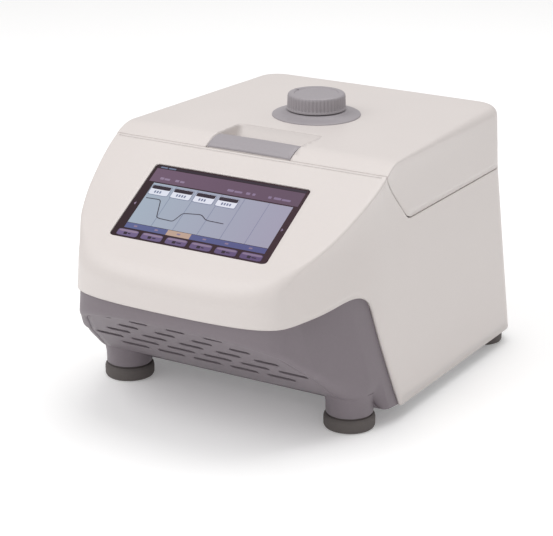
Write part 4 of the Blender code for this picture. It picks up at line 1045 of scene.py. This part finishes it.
# ---- sample block and fittings ----
def build_block():
    """The 12 x 8 block: a milled top with chamfered conical wells and plain sides."""
    pitch, steps = 0.009, 24
    levels = ((0.00365, 0.0), (0.0032, -0.00045), (0.0030, -0.0060), (0.0015, -0.0150), (0.0007, -0.0162))
    unit = circle(1.0, steps, phase=0.5)
    reaches = [pitch / 2 / max(abs(c), abs(v)) for c, v in unit]
    well = [[(c * reach, v * reach, 0.0) for (c, v), reach in zip(unit, reaches)]]
    well += [[(r * c, r * v, z) for c, v in unit] for r, z in levels]
    verts, faces = [], []
    for col in range(12):
        for row in range(8):
            x, y = (col - 5.5) * pitch, BLOCK_Y + (row - 3.5) * pitch
            faces += strip(well, True, len(verts))
            verts += [(x + dx, y + dy, BLOCK_TOP + dz) for dx, dy, dz in flat(well)]
            faces.append(tuple(range(len(verts) - steps, len(verts))))
    half_w, half_d = BLOCK_W / 2, BLOCK_D / 2
    rims = ((6 * pitch, 4 * pitch, 0.0), (half_w - 0.0006, half_d - 0.0006, 0.0), (half_w, half_d, -0.0006),
            (half_w, half_d, -0.0255))
    sides = [[(sx * hx, BLOCK_Y + sy * hy, BLOCK_TOP + z) for sx, sy in ((-1, -1), (1, -1), (1, 1), (-1, 1))]
             for hx, hy, z in rims]
    faces += strip(sides, True, len(verts))
    verts += flat(sides)
    faces.append(tuple(range(len(verts) - 4, len(verts))))
    piece("block_skin", verts, faces, ALUMINIUM, "base", ("sample_block",), 30)


def screw_mesh(radius):
    """A pan head with a cross recess, facing +Z."""
    bm = bmesh.new()
    levels = ((1.0, 0.0), (1.0, 0.25), (0.85, 0.48), (0.5, 0.62), (0.15, 0.66))
    stack_rings(bm, [[(x, y, z * radius) for x, y in circle(r * radius, 24)] for r, z in levels])
    obj = bmesh_object("screw_blank", bm)
    carve(obj, *(box_tool("cross", (radius * a, radius * b, radius), (0, 0, radius * 0.80))
                 for a, b in ((1.1, 0.26), (0.26, 1.1))))
    mesh = obj.data
    bpy.data.objects.remove(obj, do_unlink=True)
    dress(mesh, STEEL, 30)
    return mesh


def set_screws():
    """Cross-head screws on the rear panel and the hinges."""
    large, small = screw_mesh(0.0024), screw_mesh(0.0016)
    plate = REAR_Y - 0.003 - GAP + 0.00005
    spots = [("base", large, (x, plate, z)) for x in (-0.0985, 0.0985) for z in (0.036, 0.148)]
    spots += [(body, small, (hinge + d, HINGE_Y, HINGE_Z + rise)) for hinge in (-HINGE_X, HINGE_X)
              for body, rise in (("base", -0.0125), ("lid", 0.0125)) for d in (-0.017, 0.0, 0.017)]
    rear = Matrix.Rotation(radians(-90), 4, "X")
    for count, (body, shape, at) in enumerate(spots):
        obj = add_object(f"screw_{count:02d}", shape)
        obj.matrix_world = Matrix.Translation(at) @ rear @ Matrix.Rotation(radians(25 + 41 * count), 4, "Z")
        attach(obj, body)


def soften_cad():
    """Round the edges of the carried-over solids that stay in sight."""
    leaves = [f"hinge_leaf_{kind}_{side}" for kind in ("fixed", "lid") for side in ("left", "right")]
    widths = {0.0003: ("usb_port", "press_carrier"), 0.0005: ("mains_inlet", "fuse_drawer"),
              0.0006: ("power_rocker", "lid_liner"),
              0.0004: ("rear_panel", "heater_plate", "bottom_plate", "block_seal", "fan_frame_left",
                       "fan_frame_right", "latch_keeper", *leaves)}
    for width, names in widths.items():
        for name in names:
            step = frame["nodes"][name].modifiers.new("soft_edge", "BEVEL")
            step.width = width
            step.segments = 2
            step.limit_method = "ANGLE"
            step.angle_limit = radians(40)


# ---- camera, light, floor ----
def make_camera():
    data = bpy.data.cameras.new("camera")
    data.sensor_width = 36.0
    data.lens = 1971.0 / 553.0 * 36.0
    data.clip_start, data.clip_end = 0.05, 50.0
    camera = add_object("camera", data)
    right = Vector((0.85797683, 0.51368736, 0.00103)).normalized()
    back = Vector((0.48520191, -0.81105472, 0.3267558)).normalized()
    up = back.cross(right)
    matrix = Matrix((right, up, back)).transposed().to_4x4()
    matrix.translation = Vector((0.85645, -1.44450, 0.67771))
    camera.matrix_world = matrix
    bpy.context.scene.camera = camera


def area_light(name, at, target, size, power):
    data = bpy.data.lights.new(name, "AREA")
    data.shape = "RECTANGLE"
    data.size, data.size_y = size
    data.energy = power
    light = add_object(name, data)
    light.location = at
    light.rotation_mode = "QUATERNION"
    light.rotation_quaternion = (Vector(target) - Vector(at)).to_track_quat("-Z", "Y")


def make_stage():
    world = bpy.data.worlds.new("studio")
    world.use_nodes = True
    backdrop = world.node_tree.nodes["Background"]
    backdrop.inputs["Color"].default_value = (1.0, 0.99, 0.985, 1)
    backdrop.inputs["Strength"].default_value = 0.50
    bpy.context.scene.world = world
    area_light("key", (-1.1, -1.5, 2.1), (0, -0.02, 0.12), (1.8, 1.8), 27)
    area_light("fill", (1.3, -1.7, 0.7), (0, 0, 0.12), (1.4, 1.4), 4)
    area_light("top", (0.2, 0.6, 2.4), (0, 0, 0.1), (2.2, 2.2), 30)
    mesh = bpy.data.meshes.new("floor")
    mesh.from_pydata([(-9, -9, 0), (9, -9, 0), (9, 9, 0), (-9, 9, 0)], [], [(0, 1, 2, 3)])
    floor = add_object("floor", mesh)
    mat, tree, shader, where = base_material("pale_floor", 0.7)
    cloud = noise(tree, where, 2.0, 3.0)
    pale = blend_colours(tree, cloud, (0.92, 0.92, 0.92), (0.95, 0.95, 0.95))
    tree.links.new(pale, shader.inputs["Base Color"])
    shader.inputs["Emission Color"].default_value = (1, 1, 1, 1)
    shader.inputs["Emission Strength"].default_value = 0.16
    mesh.materials.append(mat)
    bpy.context.scene.view_settings.view_transform = "Standard"


def paint_cad():
    """Every CAD node that still shows gets its finished material."""
    looks = {"white_plastic": WHITE, "grey_plastic": GREY, "light_grey_plastic": LIGHT, "foot_rubber": RUBBER,
             "dark_plastic": BLACK, "display_glass": BLACK, "aluminium": ALUMINIUM, "steel": STEEL,
             "peltier_ceramic": CERAMIC, "circuit_board": BOARD, "silicone_seal": SEAL}
    slots = {s["node"]: s["material_slot"] for s in frame["record"]["subparts"]}
    for name, obj in frame["nodes"].items():
        for slot in obj.material_slots:
            slot.material = looks[slots[name]]


make_camera()
make_stage()
paint_cad()
build_housing()
build_cowl()
build_feet()
build_lid()
build_latch()
build_knob()
build_display()
build_block()
set_screws()
soften_cad()
